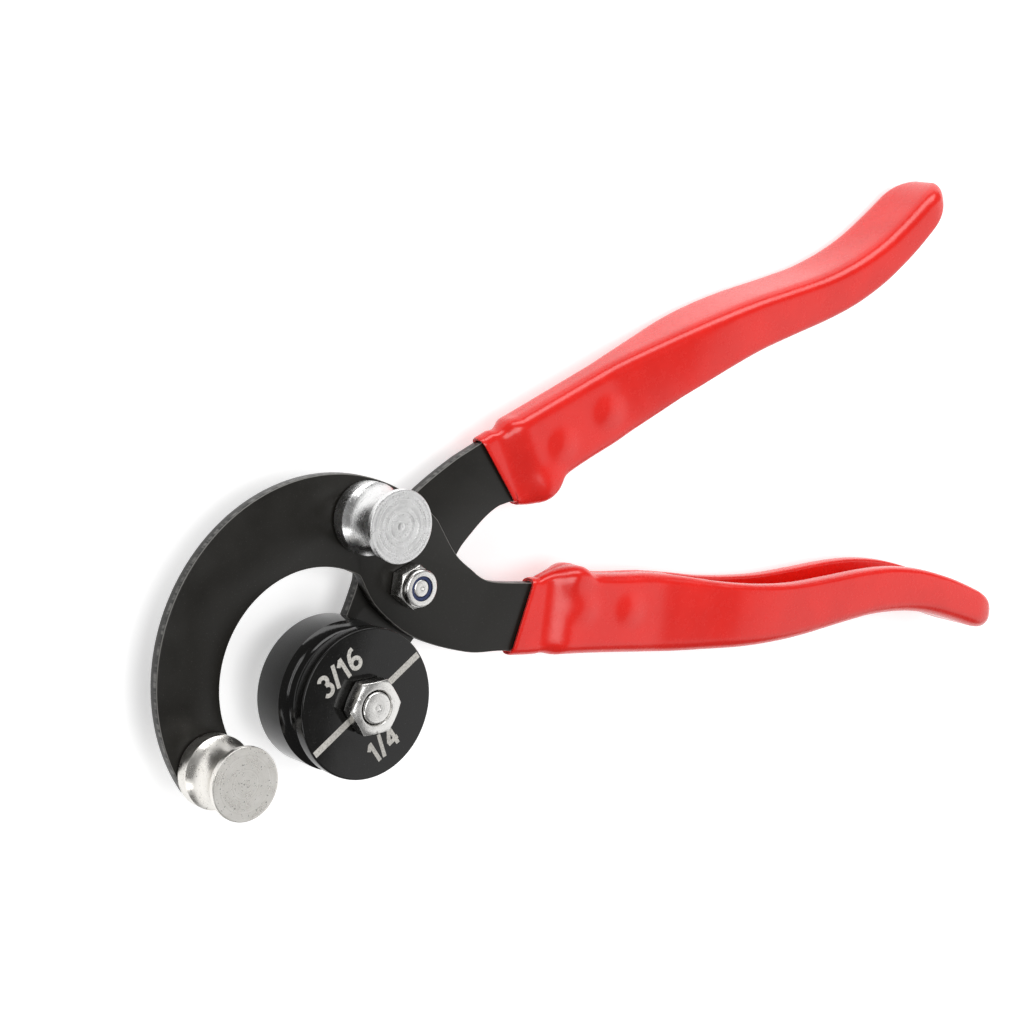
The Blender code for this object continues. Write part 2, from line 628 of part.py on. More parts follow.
def make_pivot():
    """Bolt from behind, washer, lock nut and its nylon ring."""
    washer_low = REAR_BACK - GAP - PIVOT_WASHER
    under_head = washer_low - GAP
    nut_low = GAP
    hex_top = nut_low + PIVOT_NUT_HEX
    collar_top = hex_top + PIVOT_NUT_COLLAR
    thread = PIVOT_SHANK + GAP
    ring_out = thread + PIVOT_RING_WALL
    ring_low = hex_top - PIVOT_NUT_COLLAR / 4
    ring_top = collar_top - GAP
    washer("pivot_washer", PIVOT_AT, thread, PIVOT_WASHER_RADIUS, washer_low, PIVOT_WASHER, ZINC)
    bolt("pivot_bolt", PIVOT_AT, PIVOT_SHANK, PIVOT_HEAD_FLATS, PIVOT_HEAD, under_head,
         ring_top, PIVOT_NUT_TURN, ZINC)
    nut = hex_block("pivot_lock_nut", PIVOT_AT, PIVOT_HEAD_FLATS, nut_low, hex_top,
                    PIVOT_NUT_TURN, ZINC, chamfer_low=False)
    brim = PIVOT_NUT_COLLAR / 3
    collar = turned("collar", PIVOT_AT, [(0.0, hex_top - PIVOT_NUT_HEX / 2),
                                         (PIVOT_COLLAR_RADIUS, hex_top - PIVOT_NUT_HEX / 2),
                                         (PIVOT_COLLAR_RADIUS, collar_top - brim),
                                         (PIVOT_COLLAR_RADIUS - brim / 3, collar_top - brim / 3),
                                         (PIVOT_COLLAR_RADIUS - brim, collar_top),
                                         (0.0, collar_top)], SMALL_STEPS)
    join = nut.modifiers.new("join", "BOOLEAN")
    join.operation = "UNION"
    join.object = collar
    bake(nut)
    bpy.data.objects.remove(collar, do_unlink=True)
    bore = rod("bore", PIVOT_AT, thread, nut_low - OVERRUN, collar_top + OVERRUN)
    seat = rod("seat", PIVOT_AT, ring_out + GAP, ring_low - GAP, collar_top + OVERRUN)
    carve(nut, [bore, seat])
    washer("pivot_nut_ring", PIVOT_AT, thread, ring_out, ring_low, ring_top - ring_low, BLUE_NYLON)


def roller_profile():
    """Half section of a roller with its journal, from the back up."""
    low = GAP
    top = low + ROLLER_LENGTH
    groove_low = low + ROLLER_REAR_FLANGE
    groove_high = top - ROLLER_FRONT_FLANGE
    middle = (groove_low + groove_high) / 2
    half = (groove_high - groove_low) / 2
    depth = ROLLER_RADIUS - ROLLER_WAIST
    washer_low = FRONT_BACK - GAP - ROLLER_WASHER
    peen_top = washer_low - GAP
    rim = ROLLER_FRONT_FLANGE / 4
    profile = [(0.0, peen_top - ROLLER_PEEN), (ROLLER_PEEN_RADIUS - ROLLER_PEEN, peen_top - ROLLER_PEEN),
               (ROLLER_PEEN_RADIUS, peen_top), (ROLLER_SHANK, peen_top), (ROLLER_SHANK, low),
               (ROLLER_RADIUS - rim, low), (ROLLER_RADIUS, low + rim)]
    for k in range(ROLLER_GROOVE_STEPS + 1):
        swing = math.radians(180.0) * k / ROLLER_GROOVE_STEPS
        profile.append((ROLLER_RADIUS - depth * math.sin(swing), middle - half * math.cos(swing)))
    profile += [(ROLLER_RADIUS, top - rim), (ROLLER_RADIUS - rim, top), (0.0, top)]
    return profile


def make_rollers():
    """Two grooved rollers, each turning in the C and held by a washer behind it."""
    for side, at in (("upper", UPPER_ROLLER_AT), ("lower", LOWER_ROLLER_AT)):
        turned(side + "_roller", at, roller_profile(), ROUND_STEPS, ZINC)
        washer(side + "_roller_washer", at, ROLLER_SHANK + GAP, ROLLER_WASHER_RADIUS,
               FRONT_BACK - GAP - ROLLER_WASHER, ROLLER_WASHER, ZINC)


def groove_cutter(tube, depth, start, sweep):
    """Half ring that cuts a tube groove: round at the bottom, flared at the rim."""
    floor = DIE_RADIUS - depth
    root = floor + tube
    outline = [(DIE_RADIUS + OVERRUN, DIE_GROOVE_HEIGHT - GROOVE_MOUTH),
               (DIE_RADIUS, DIE_GROOVE_HEIGHT - GROOVE_MOUTH)]
    for k in range(DIE_GROOVE_STEPS + 1):
        swing = math.radians(-75.0 + 150.0 * k / DIE_GROOVE_STEPS)
        outline.append((root - tube * math.cos(swing), DIE_GROOVE_HEIGHT + tube * math.sin(swing)))
    outline += [(DIE_RADIUS, DIE_GROOVE_HEIGHT + GROOVE_MOUTH),
                (DIE_RADIUS + OVERRUN, DIE_GROOVE_HEIGHT + GROOVE_MOUTH)]
    return tube_turned("groove", DIE_AT, outline, ROUND_STEPS // 2, None, sweep, start)


def make_die():
    """Turned die with a small groove on one half and a large one on the other."""
    outside = [(0.0, DIE_BACK), (DIE_RADIUS - DIE_EDGE, DIE_BACK), (DIE_RADIUS, DIE_BACK + DIE_EDGE),
               (DIE_RADIUS, DIE_FRONT - DIE_EDGE), (DIE_RADIUS - DIE_EDGE, DIE_FRONT), (0.0, DIE_FRONT)]
    die = turned("bending_die", DIE_AT, outside, ROUND_STEPS, BLACK_DIE)
    overlap = math.radians(3.0)
    small = groove_cutter(SMALL_TUBE, SMALL_GROOVE_DEPTH, DIE_LINE_ANGLE - overlap, math.pi + 2 * overlap)
    large = groove_cutter(LARGE_TUBE, LARGE_GROOVE_DEPTH, DIE_LINE_ANGLE + math.pi, math.pi)
    bore = rod("bore", DIE_AT, DIE_BOLT + GAP, DIE_BACK - OVERRUN, DIE_FRONT + OVERRUN)
    return carve(die, [small, large, bore])


def make_die_fixing():
    """Bolt and washer behind the rear arm, thin nut on the face of the die."""
    washer_low = REAR_BACK - GAP - DIE_WASHER
    nut_low = DIE_FRONT + GAP
    nut_top = nut_low + DIE_NUT
    washer("die_washer", DIE_AT, DIE_BOLT + GAP, DIE_WASHER_RADIUS, washer_low, DIE_WASHER, ZINC)
    bolt("die_bolt", DIE_AT, DIE_BOLT, DIE_BOLT_FLATS, DIE_BOLT_HEAD, washer_low - GAP,
         nut_top + GAP, DIE_NUT_TURN, ZINC)
    nut = hex_block("die_nut", DIE_AT, DIE_BOLT_FLATS, nut_low, nut_top, DIE_NUT_TURN, ZINC)
    carve(nut, [rod("bore", DIE_AT, DIE_BOLT + GAP, nut_low - OVERRUN, nut_top + OVERRUN)])


def rivet_profile(mid, spare):
    """Countersunk rivet about a middle height; spare widens it into its seat."""
    reach = PINCHED_WIDTH / 2 - VINYL - GAP
    end = reach + (OVERRUN if spare else 0.0)
    head, shank = RIVET_HEAD + spare, RIVET_SHANK + spare
    profile = [(0.0, mid - end), (head, mid - end)]
    if spare:
        profile.append((head, mid - reach + spare / 3))
    profile += [(shank, mid - reach + RIVET_SINK), (shank, mid + reach - RIVET_SINK)]
    if spare:
        profile.append((head, mid + reach - spare / 3))
    profile += [(head, mid + end), (0.0, mid + end)]
    return profile


def make_handle(side, place):
    """Steel channel, two rivets and the dipped vinyl grip of one handle."""
    start = HANDLE_LENGTH * CHANNEL_START_SHARE
    skin = VINYL + GAP
    channel = channel_handle(place, side + "_handle_channel", start, skin, CHANNEL_WALL, GREY_STEEL)
    carve(channel, [turned("seat", at, rivet_profile(place.mid, GAP), RIVET_STEPS)
                    for at in rivet_places(place)])
    for name, at in zip(("inner", "outer"), rivet_places(place)):
        turned(side + "_rivet_" + name, at, rivet_profile(place.mid, 0.0), RIVET_STEPS, GREY_STEEL)
    grip = solid_handle(place, side + "_grip", RED_VINYL)
    cavity = channel_handle(place, "cavity", start - GAP, VINYL, CHANNEL_WALL + 2 * GAP)
    slot = slot_handle(place, "slot", skin + CHANNEL_WALL + GAP + VINYL)
    carve(grip, [slot, cavity, tang_cutter(place), mouth_cutter(place)] + dimple_cutters(place))


def tang_cutter(place):
    """Room for the tang in the vinyl, from before the mouth to the tang's end."""
    web, edge = tang_outline(place)
    start = HANDLE_LENGTH * TANG_NECK_SHARE - OVERRUN
    first = place.plane(start, web_line(start) - TANG_VINYL - GAP)
    last = place.plane(start, open_line(start) + TANG_VINYL + GAP)
    outline = grown([first] + web[1:] + edge + [last], GAP)
    low, high = place.mid - PLATE / 2 - GAP, place.mid + PLATE / 2 + GAP
    return loft("tang_room", [[(p.x, p.y, low) for p in outline], [(p.x, p.y, high) for p in outline]])


def grown(outline, margin):
    """Outline moved outwards by a margin, corner by corner."""
    area = sum(a.x * b.y - b.x * a.y for a, b in zip(outline, outline[1:] + outline[:1]))
    sense = 1.0 if area > 0.0 else -1.0
    made = []
    for k, here in enumerate(outline):
        before = (here - outline[k - 1]).normalized()
        after = (outline[(k + 1) % len(outline)] - here).normalized()
        normal_a = Vector((before.y, -before.x)) * sense
        normal_b = Vector((after.y, -after.x)) * sense
        middle = (normal_a + normal_b).normalized()
        made.append(here + middle * margin / max(middle.dot(normal_a), 0.5))
    return made


def mouth_cutter(place):
    """Block that trims the grip at its leaning mouth."""
    far = HANDLE_DEPTH * 2
    lip, back = (HANDLE_LENGTH * share for share in place.mouth)
    lean = (lip - back) / (open_line(lip) - web_line(back))
    at_open = lip + lean * (-far - open_line(lip))
    at_web = back + lean * (far - web_line(back))
    corners = [place.plane(-far, -far), place.plane(at_open, -far),
               place.plane(at_web, far), place.plane(-far, far)]
    low, high = place.mid - HANDLE_WIDTH, place.mid + HANDLE_WIDTH
    return loft("mouth", [[(p.x, p.y, low) for p in corners], [(p.x, p.y, high) for p in corners]])


def dimple_cutters(place):
    """Shallow balls that press the vinyl in over each rivet head."""
    ball = (DIMPLE_RADIUS ** 2 + DIMPLE_DEPTH ** 2) / (2 * DIMPLE_DEPTH)
    surface = PINCHED_WIDTH / 2
    cutters = []
    for at in rivet_places(place):
        for side in (-1, 1):
            middle = place.mid + side * (surface + ball - DIMPLE_DEPTH)
            reach = math.asin(min(1.0, DIMPLE_RADIUS * 1.15 / ball))
            profile = [(0.0, middle - side * ball)]
            for k in range(1, 4):
                swing = reach * k / 3
                profile.append((ball * math.sin(swing), middle - side * ball * math.cos(swing)))
            profile.append((0.0, profile[-1][1]))
            cutters.append(turned("dimple", at, profile, SMALL_STEPS // 2))
    return cutters


def smooth_rounds():
    """Shade round faces smooth and keep the real edges sharp."""
    for item in bpy.data.objects:
        if item.type == "MESH":
            item.data.shade_smooth()
            item.data.set_sharp_from_angle(angle=math.radians(35.0))


PIECE_PARENTS = {
    "front_frame": (PIVOT_AT, ("front_arm", "pivot_bolt", "pivot_washer", "pivot_lock_nut",
                               "pivot_nut_ring", "upper_roller_washer", "lower_roller_washer",
                               "lower_handle_channel", "lower_rivet_inner", "lower_rivet_outer",
                               "lower_grip")),
    "rear_frame": (PIVOT_AT, ("rear_arm", "die_bolt", "die_washer", "upper_handle_channel",
                              "upper_rivet_inner", "upper_rivet_outer", "upper_grip")),
    "upper_roller_axis": (UPPER_ROLLER_AT, ("upper_roller",)),
    "lower_roller_axis": (LOWER_ROLLER_AT, ("lower_roller",)),
    "die_axis": (DIE_AT, ("bending_die",)),
    "die_nut_axis": (DIE_AT, ("die_nut",)),
}
AXIS_PARENTS = {"rear_frame": "front_frame", "upper_roller_axis": "front_frame",
                "lower_roller_axis": "front_frame", "die_axis": "rear_frame",
                "die_nut_axis": "rear_frame"}


def assemble():
    """Hang every piece on an empty at its joint, and set the tool on the origin."""
    lows = [min((item.matrix_world @ Vector(c))[k] for item in bpy.data.objects for c in item.bound_box)
            for k in range(3)]
    highs = [max((item.matrix_world @ Vector(c))[k] for item in bpy.data.objects for c in item.bound_box)
             for k in range(3)]
    shift = Vector((-(lows[0] + highs[0]) / 2, -(lows[1] + highs[1]) / 2, -lows[2]))
    empties = {}
    for name, (at, _) in PIECE_PARENTS.items():
        empty = bpy.data.objects.new(name, None)
        bpy.context.scene.collection.objects.link(empty)
        empty.location = Vector((at.x, at.y, 0.0))
        empties[name] = empty
    bpy.context.view_layer.update()
    for name, (_, pieces) in PIECE_PARENTS.items():
        for piece in pieces:
            item = bpy.data.objects[piece]
            item.parent = empties[name]
            item.matrix_parent_inverse = empties[name].matrix_world.inverted()
    for child, parent in AXIS_PARENTS.items():
        empties[child].parent = empties[parent]
        empties[child].matrix_parent_inverse = empties[parent].matrix_world.inverted()
    empties["front_frame"].location += shift
    bpy.context.view_layer.update()
    print("pivot at", [round(v / MM, 3) for v in empties["front_frame"].matrix_world.translation])


def main():
    """Build the whole tool."""
    clear_scene()
    make_front_arm()
    make_rear_arm()
    make_pivot()
    make_rollers()
    make_die()
    make_die_fixing()
    make_handle("upper", UPPER)
    make_handle("lower", LOWER)
    smooth_rounds()
    assemble()


main()
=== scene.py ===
"""Tube bending pliers on a pale floor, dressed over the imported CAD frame.

The tool lies on its back. Plane places (u, v) are measured from the pivot and heights
(w) from the front face of the front arm, all in metres. Each class below builds one
sub-assembly of the tool, and each finish is a small class that builds its material.
"""

import json
import logging
import math
from dataclasses import dataclass
from enum import Enum
from typing import Callable, Optional, Sequence

import bmesh
import bpy
from mathutils import Matrix, Vector

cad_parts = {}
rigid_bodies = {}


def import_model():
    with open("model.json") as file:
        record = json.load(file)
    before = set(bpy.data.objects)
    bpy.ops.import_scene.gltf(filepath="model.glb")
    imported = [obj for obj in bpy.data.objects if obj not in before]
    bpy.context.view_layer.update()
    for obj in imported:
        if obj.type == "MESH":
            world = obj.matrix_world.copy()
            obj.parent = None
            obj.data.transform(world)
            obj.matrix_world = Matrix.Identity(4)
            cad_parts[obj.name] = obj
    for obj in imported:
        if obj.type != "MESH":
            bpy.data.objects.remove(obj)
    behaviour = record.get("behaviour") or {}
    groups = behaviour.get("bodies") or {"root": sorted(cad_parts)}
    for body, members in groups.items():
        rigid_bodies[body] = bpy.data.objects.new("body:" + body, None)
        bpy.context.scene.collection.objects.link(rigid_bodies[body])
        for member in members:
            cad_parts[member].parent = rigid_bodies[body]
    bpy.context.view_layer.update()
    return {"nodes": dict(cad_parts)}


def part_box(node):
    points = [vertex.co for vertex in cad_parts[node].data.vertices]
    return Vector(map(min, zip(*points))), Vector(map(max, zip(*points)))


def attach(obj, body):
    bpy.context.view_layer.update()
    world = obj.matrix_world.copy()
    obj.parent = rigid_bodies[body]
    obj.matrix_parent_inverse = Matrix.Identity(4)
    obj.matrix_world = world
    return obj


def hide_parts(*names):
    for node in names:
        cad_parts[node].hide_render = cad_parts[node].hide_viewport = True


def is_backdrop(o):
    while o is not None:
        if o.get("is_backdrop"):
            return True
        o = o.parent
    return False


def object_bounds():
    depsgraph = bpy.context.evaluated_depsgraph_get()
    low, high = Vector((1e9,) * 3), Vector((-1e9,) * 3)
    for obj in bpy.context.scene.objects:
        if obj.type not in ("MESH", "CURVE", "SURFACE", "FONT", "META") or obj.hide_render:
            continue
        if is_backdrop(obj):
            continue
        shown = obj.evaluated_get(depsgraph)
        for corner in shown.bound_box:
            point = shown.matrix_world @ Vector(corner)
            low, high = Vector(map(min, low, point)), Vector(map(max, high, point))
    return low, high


log = logging.getLogger("pliers")

MM = 0.001
SHARP = math.radians(38.0)
BEVELLED = math.radians(28.0)
WELD = MM / 500
Point2 = tuple[float, float]
Table = Sequence[Point2]
Item = bpy.types.Object
Socket = bpy.types.NodeSocket


class Body(str, Enum):
    """Moving bodies of the tool."""

    FRONT = "front_assembly"
    REAR = "rear_assembly"
    UPPER_ROLLER = "upper_roller"
    LOWER_ROLLER = "lower_roller"
    DIE = "bending_die"
    DIE_NUT = "die_nut"


class Face(Enum):
    """How the end of a roller was left by the lathe."""

    RINGED = "ringed"
    FLAT = "flat"


# ---- geometry helpers


def smooth(share: float) -> float:
    """Ease a share from 0 to 1.

    Args:
        share: Any number; it is held between 0 and 1 first.

    Returns:
        The eased share.
    """
    held = min(max(share, 0.0), 1.0)
    return held * held * (3.0 - 2.0 * held)


def polar(reach: float, angle: float) -> Vector:
    """Plane point at a distance and direction.

    Args:
        reach: Distance in metres.
        angle: Direction in radians.

    Returns:
        The point.
    """
    return Vector((reach * math.cos(angle), reach * math.sin(angle)))


def direction(vector: Vector) -> float:
    """Angle of a plane vector.

    Args:
        vector: The vector.

    Returns:
        Its angle from 0 to a full turn.
    """
    return math.atan2(vector.y, vector.x) % math.tau


def blend(table: Table, share: float) -> float:
    """Smooth curve through the rows of a table.

    Args:
        table: Rows of (share, value) in rising order.
        share: Where to read it.

    Returns:
        The value there.
    """
    if share <= table[0][0]:
        return table[0][1]
    if share >= table[-1][0]:
        return table[-1][1]
    k = next(i for i in range(len(table) - 1) if share <= table[i + 1][0])
    (x0, y0), (x1, y1) = table[k], table[k + 1]
    xa, ya = table[max(k - 1, 0)]
    xb, yb = table[min(k + 2, len(table) - 1)]
    width = x1 - x0
    slope0 = width * (y1 - ya) / (x1 - xa)
    slope1 = width * (yb - y0) / (xb - x0)
    t = (share - x0) / width
    return ((2 * t ** 3 - 3 * t * t + 1) * y0 + (t ** 3 - 2 * t * t + t) * slope0
            + (3 * t * t - 2 * t ** 3) * y1 + (t ** 3 - t * t) * slope1)


def arc(centre: Vector, radius: float, start: float, stop: float, step: float) -> list[Vector]:
    """Points on an arc, either way round.

    Args:
        centre: Middle of the arc.
        radius: Its radius.
        start: First direction in radians.
        stop: Last direction in radians.
        step: Angle between points.

    Returns:
        The points, both ends included.
    """
    steps = max(2, round(abs(stop - start) / step))
    return [centre + polar(radius, start + (stop - start) * k / steps) for k in range(steps + 1)]


def flowing(points: list[Vector], before: Vector, after: Vector, steps: int) -> list[Vector]:
    """Smooth curve through points.

    Args:
        points: What it passes through.
        before: Neighbour before the first point.
        after: Neighbour after the last one.
        steps: Pieces between two points.

    Returns:
        The points of the curve.
    """
    run = [before] + points + [after]
    made = [points[0]]
    for a, b, c, d in zip(run, run[1:], run[2:], run[3:]):
        for k in range(1, steps + 1):
            t = k / steps
            made.append(0.5 * ((2 * b) + (c - a) * t + (2 * a - 5 * b + 4 * c - d) * t * t
                               + (3 * b - a - 3 * c + d) * t ** 3))
    return made


def tidy_mesh(mesh: bpy.types.Mesh, cap: bool = False) -> None:
    """Merge doubled points, turn faces outwards and shade the mesh.

    Args:
        mesh: The mesh to tidy.
        cap: Close its open ends first.
    """
    shape = bmesh.new()
    shape.from_mesh(mesh)
    bmesh.ops.remove_doubles(shape, verts=shape.verts, dist=WELD)
    if cap:
        bmesh.ops.holes_fill(shape, edges=[e for e in shape.edges if e.is_boundary], sides=0)
    bmesh.ops.recalc_face_normals(shape, faces=shape.faces)
    shape.to_mesh(mesh)
    shape.free()
    mesh.shade_smooth()
    mesh.set_sharp_from_angle(angle=SHARP)


def linked(name: str, data: bpy.types.ID) -> Item:
    """Object in the scene around its data.

    Args:
        name: Its name.
        data: Mesh, lamp or camera.

    Returns:
        The object.
    """
    item = bpy.data.objects.new(name, data)
    bpy.context.scene.collection.objects.link(item)
    return item


def mesh_object(name: str, points: Sequence[Sequence[float]],
                faces: Sequence[Sequence[int]]) -> Item:
    """Object from points and faces.

    Args:
        name: Its name.
        points: Corner places.
        faces: Corner numbers of each face.

    Returns:
        The linked object.
    """
    mesh = bpy.data.meshes.new(name)
    mesh.from_pydata([tuple(p) for p in points], [], [tuple(f) for f in faces])
    item = linked(name, mesh)
    tidy_mesh(mesh)
    return item


def loft(name: str, rings: Sequence[Sequence[Sequence[float]]]) -> Item:
    """Closed body through rings of as many points each.

    Args:
        name: Name of the object.
        rings: The rings, in order.

    Returns:
        The body, capped at both ends.
    """
    count = len(rings[0])
    points = [p for ring in rings for p in ring]
    faces: list[tuple[int, ...]] = []
    for row in range(len(rings) - 1):
        for k in range(count):
            a, b = row * count + k, row * count + (k + 1) % count
            faces.append((a, b, b + count, a + count))
    faces.append(tuple(range(count)))
    faces.append(tuple(range(len(points) - count, len(points))))
    return mesh_object(name, points, faces)


def bake(item: Item) -> Item:
    """Turn what an object's modifiers make into its plain mesh.

    Args:
        item: The object.

    Returns:
        The same object, without modifiers.
    """
    bpy.context.view_layer.update()
    graph = bpy.context.evaluated_depsgraph_get()
    mesh = bpy.data.meshes.new_from_object(item.evaluated_get(graph))
    item.modifiers.clear()
    item.data = mesh
    mesh.name = item.name
    return item


def combine(item: Item, others: Sequence[Item], how: str) -> Item:
    """Boolean an object with others and drop those.

    Args:
        item: The object that stays.
        others: What it is combined with.
        how: DIFFERENCE, UNION or INTERSECT.

    Returns:
        The combined object.
    """
    for other in others:
        change = item.modifiers.new("combine", "BOOLEAN")
        change.operation = how
        change.object = other
    bake(item)
    for other in others:
        bpy.data.objects.remove(other, do_unlink=True)
    tidy_mesh(item.data)
    return item


def soften(item: Item, width: float, segments: int = 2) -> Item:
    """Round the sharp edges of an object.

    Args:
        item: The object.
        width: Size of the rounding.
        segments: Faces across it.

    Returns:
        The rounded object.
    """
    edge = item.modifiers.new("edge", "BEVEL")
    edge.width = width
    edge.segments = segments
    edge.limit_method = "ANGLE"
    edge.angle_limit = BEVELLED
    edge.use_clamp_overlap = True
    bake(item)
    tidy_mesh(item.data)
    return item


# ---- node trees


class Graph:
    """A node tree under construction."""

    def __init__(self, tree: bpy.types.NodeTree) -> None:
        """Wrap a tree.

        Args:
            tree: The tree that gets the nodes.
        """
        self.tree = tree

    def feed(self, node: bpy.types.Node, inputs: dict) -> None:
        """Set or link inputs of a node.

        Args:
            node: The node.
            inputs: Values or sockets for its inputs, by name or number.
        """
        for key, value in inputs.items():
            if isinstance(value, Socket):
                self.tree.links.new(value, node.inputs[key])
            else:
                node.inputs[key].default_value = value

    def add(self, kind: str, inputs: Optional[dict] = None, **settings: object) -> bpy.types.Node:
        """Add a node.

        Args:
            kind: Its type.
            inputs: Values or sockets for its inputs, by name or number.
            **settings: Its properties.

        Returns:
            The node.
        """
        node = self.tree.nodes.new(kind)
        for key, value in settings.items():
            setattr(node, key, value)
        self.feed(node, inputs or {})
        return node

    def math(self, how: str, a: object, b: object = 0.0) -> Socket:
        """Add a sum.

        Args:
            how: Operation of the math node.
            a: First value or socket.
            b: Second value or socket.

        Returns:
            Its result.
        """
        return self.add("ShaderNodeMath", {0: a, 1: b}, operation=how).outputs[0]

    def noise(self, at: Socket, scale: float, detail: float = 3.0,
              rough: float = 0.55) -> Socket:
        """Add cloudy noise.

        Args:
            at: Where it is read.
            scale: Waves in a metre.
            detail: Levels of finer noise.
            rough: Share that each level keeps.

        Returns:
            The noise from 0 to 1.
        """
        node = self.add("ShaderNodeTexNoise", {"Vector": at, "Scale": scale, "Detail": detail,
                                               "Roughness": rough})
        return node.outputs["Fac"]

    def ramp(self, value: object, low: float, high: float, to_low: float = 0.0,
             to_high: float = 1.0) -> Socket:
        """Map a value from one range to another, smoothly and held.

        Args:
            value: The socket to map.
            low: Start of its range.
            high: End of its range.
            to_low: Result at the start.
            to_high: Result at the end.

        Returns:
            The mapped value.
        """
        node = self.add("ShaderNodeMapRange", {"Value": value, "From Min": low, "From Max": high,
                                               "To Min": to_low, "To Max": to_high},
                        interpolation_type="SMOOTHSTEP")
        return node.outputs["Result"]

    def mix(self, share: object, first: object, second: object) -> Socket:
        """Mix two colours.

        Args:
            share: How much of the second one.
            first: Colour or socket.
            second: Colour or socket.

        Returns:
            The mixed colour.
        """
        node = self.add("ShaderNodeMix", {0: share, 6: first, 7: second}, data_type="RGBA")
        return node.outputs[2]


def grey(value: float, warm: float = 0.0) -> tuple[float, float, float, float]:
    """Grey colour, warmer where asked.

    Args:
        value: Its brightness.
        warm: Share that blue loses; red gains half of it.

    Returns:
        The colour.
    """
    return (value * (1 + warm / 2), value, value * (1 - warm), 1.0)


@dataclass(frozen=True)
class Surface:
    """What a finish hands to its shader: sockets or plain values."""

    colour: object
    roughness: object
    metallic: object
    height: Socket
    bump: float
    extras: tuple = ()


@dataclass(frozen=True)
class Coating:
    """Base of every finish: a Principled shader fed by the subclass."""

    name: str
    slot: str

    def surface(self, graph: Graph, at: Socket, normal: Socket) -> Surface:
        """Build the finish's own nodes.

        Args:
            graph: The material's tree.
            at: Object coordinates.
            normal: Normal in the object's space.

        Returns:
            What the shader is fed.
        """
        raise NotImplementedError

    def material(self) -> bpy.types.Material:
        """Build the material once.

        Returns:
            The material.
        """
        found = bpy.data.materials.get("look_" + self.name)
        if found:
            return found
        made = bpy.data.materials.new("look_" + self.name)
        made.use_nodes = True
        graph = Graph(made.node_tree)
        shader = made.node_tree.nodes["Principled BSDF"]
        place = graph.add("ShaderNodeTexCoord")
        got = self.surface(graph, place.outputs["Object"], place.outputs["Normal"])
        bump = graph.add("ShaderNodeBump", {"Height": got.height, "Strength": 1.0,
                                            "Distance": got.bump})
        graph.feed(shader, {"Base Color": got.colour, "Roughness": got.roughness, "Metallic": got.metallic,
                            "Normal": bump.outputs["Normal"], **dict(got.extras)})
        return made


@dataclass(frozen=True)
class BlackPlate(Coating):
    """Satin black steel with bright sheared bands on its sides and a painted highlight along its bevelled
    edges.
    """

    front: float = 0.0
    band: float = 0.9 * MM
    wander: float = 0.4 * MM
    dull: tuple = grey(0.0065, 0.22)
    worn: tuple = grey(0.0115, 0.20)
    speck: tuple = grey(0.12, 0.05)
    torn: tuple = grey(0.020, 0.06)
    sheared: tuple = grey(0.17, 0.05)
    # rim: painted highlight colour laid on every bevelled edge
    rim: tuple = grey(0.22, 0.06)
    gloss: Point2 = (0.27, 0.38)

    def surface(self, graph: Graph, at: Socket, normal: Socket) -> Surface:
        """Build the plate's finish. See the base class for the arguments and the result."""
        cloud = graph.noise(at, 110.0, 4.0)
        grain = graph.noise(at, 1900.0, 3.0)
        speck = graph.ramp(graph.noise(at, 3400.0, 2.0), 0.66, 0.72)
        base = graph.mix(cloud, self.dull, self.worn)
        base = graph.mix(graph.math("MULTIPLY", speck, 0.20), base, self.speck)
        split = graph.add("ShaderNodeSeparateXYZ", {0: at})
        lean = graph.math("ABSOLUTE", graph.add("ShaderNodeSeparateXYZ", {0: normal}).outputs[2])
        side = graph.ramp(lean, 0.15, 0.45, 1.0, 0.0)
        # painted highlight: edge picks out the bevelled faces by their normals; they are lightened towards
        # rim below
        edge = graph.math("MULTIPLY", graph.ramp(lean, 0.30, 0.60), graph.ramp(lean, 0.80, 0.97, 1.0, 0.0))
        streak = graph.add("ShaderNodeMapping", {"Vector": at, "Scale": (1.0, 1.0, 0.12)})
        shear = graph.noise(streak.outputs[0], 900.0, 4.0)
        down = graph.math("SUBTRACT", self.front, split.outputs[2])
        wander = graph.math("ADD", down, graph.ramp(graph.noise(at, 260.0), 0.0, 1.0,
                                                    -self.wander, self.wander))
        lit = graph.math("MULTIPLY", side, graph.ramp(wander, self.band, self.band * 2.0, 1.0, 0.0))
        sheared = graph.mix(graph.ramp(shear, 0.40, 0.65), self.torn, self.sheared)
        base = graph.mix(graph.math("MULTIPLY", lit, 0.85), base, sheared)
        # painted highlight: the bevels take up to three quarters of the rim colour
        base = graph.mix(graph.math("MULTIPLY", edge, 0.75), base, self.rim)
        rough = graph.ramp(graph.math("ADD", cloud, graph.math("MULTIPLY", grain, 0.3)), 0.3, 1.0,
                           *self.gloss)
        height = graph.math("ADD", graph.math("MULTIPLY", grain, 0.5),
                            graph.math("MULTIPLY", graph.math("MULTIPLY", shear, side), 1.5))
        return Surface(base, rough, 0.0, height, 0.020 * MM, (("Specular IOR Level", 0.30),))


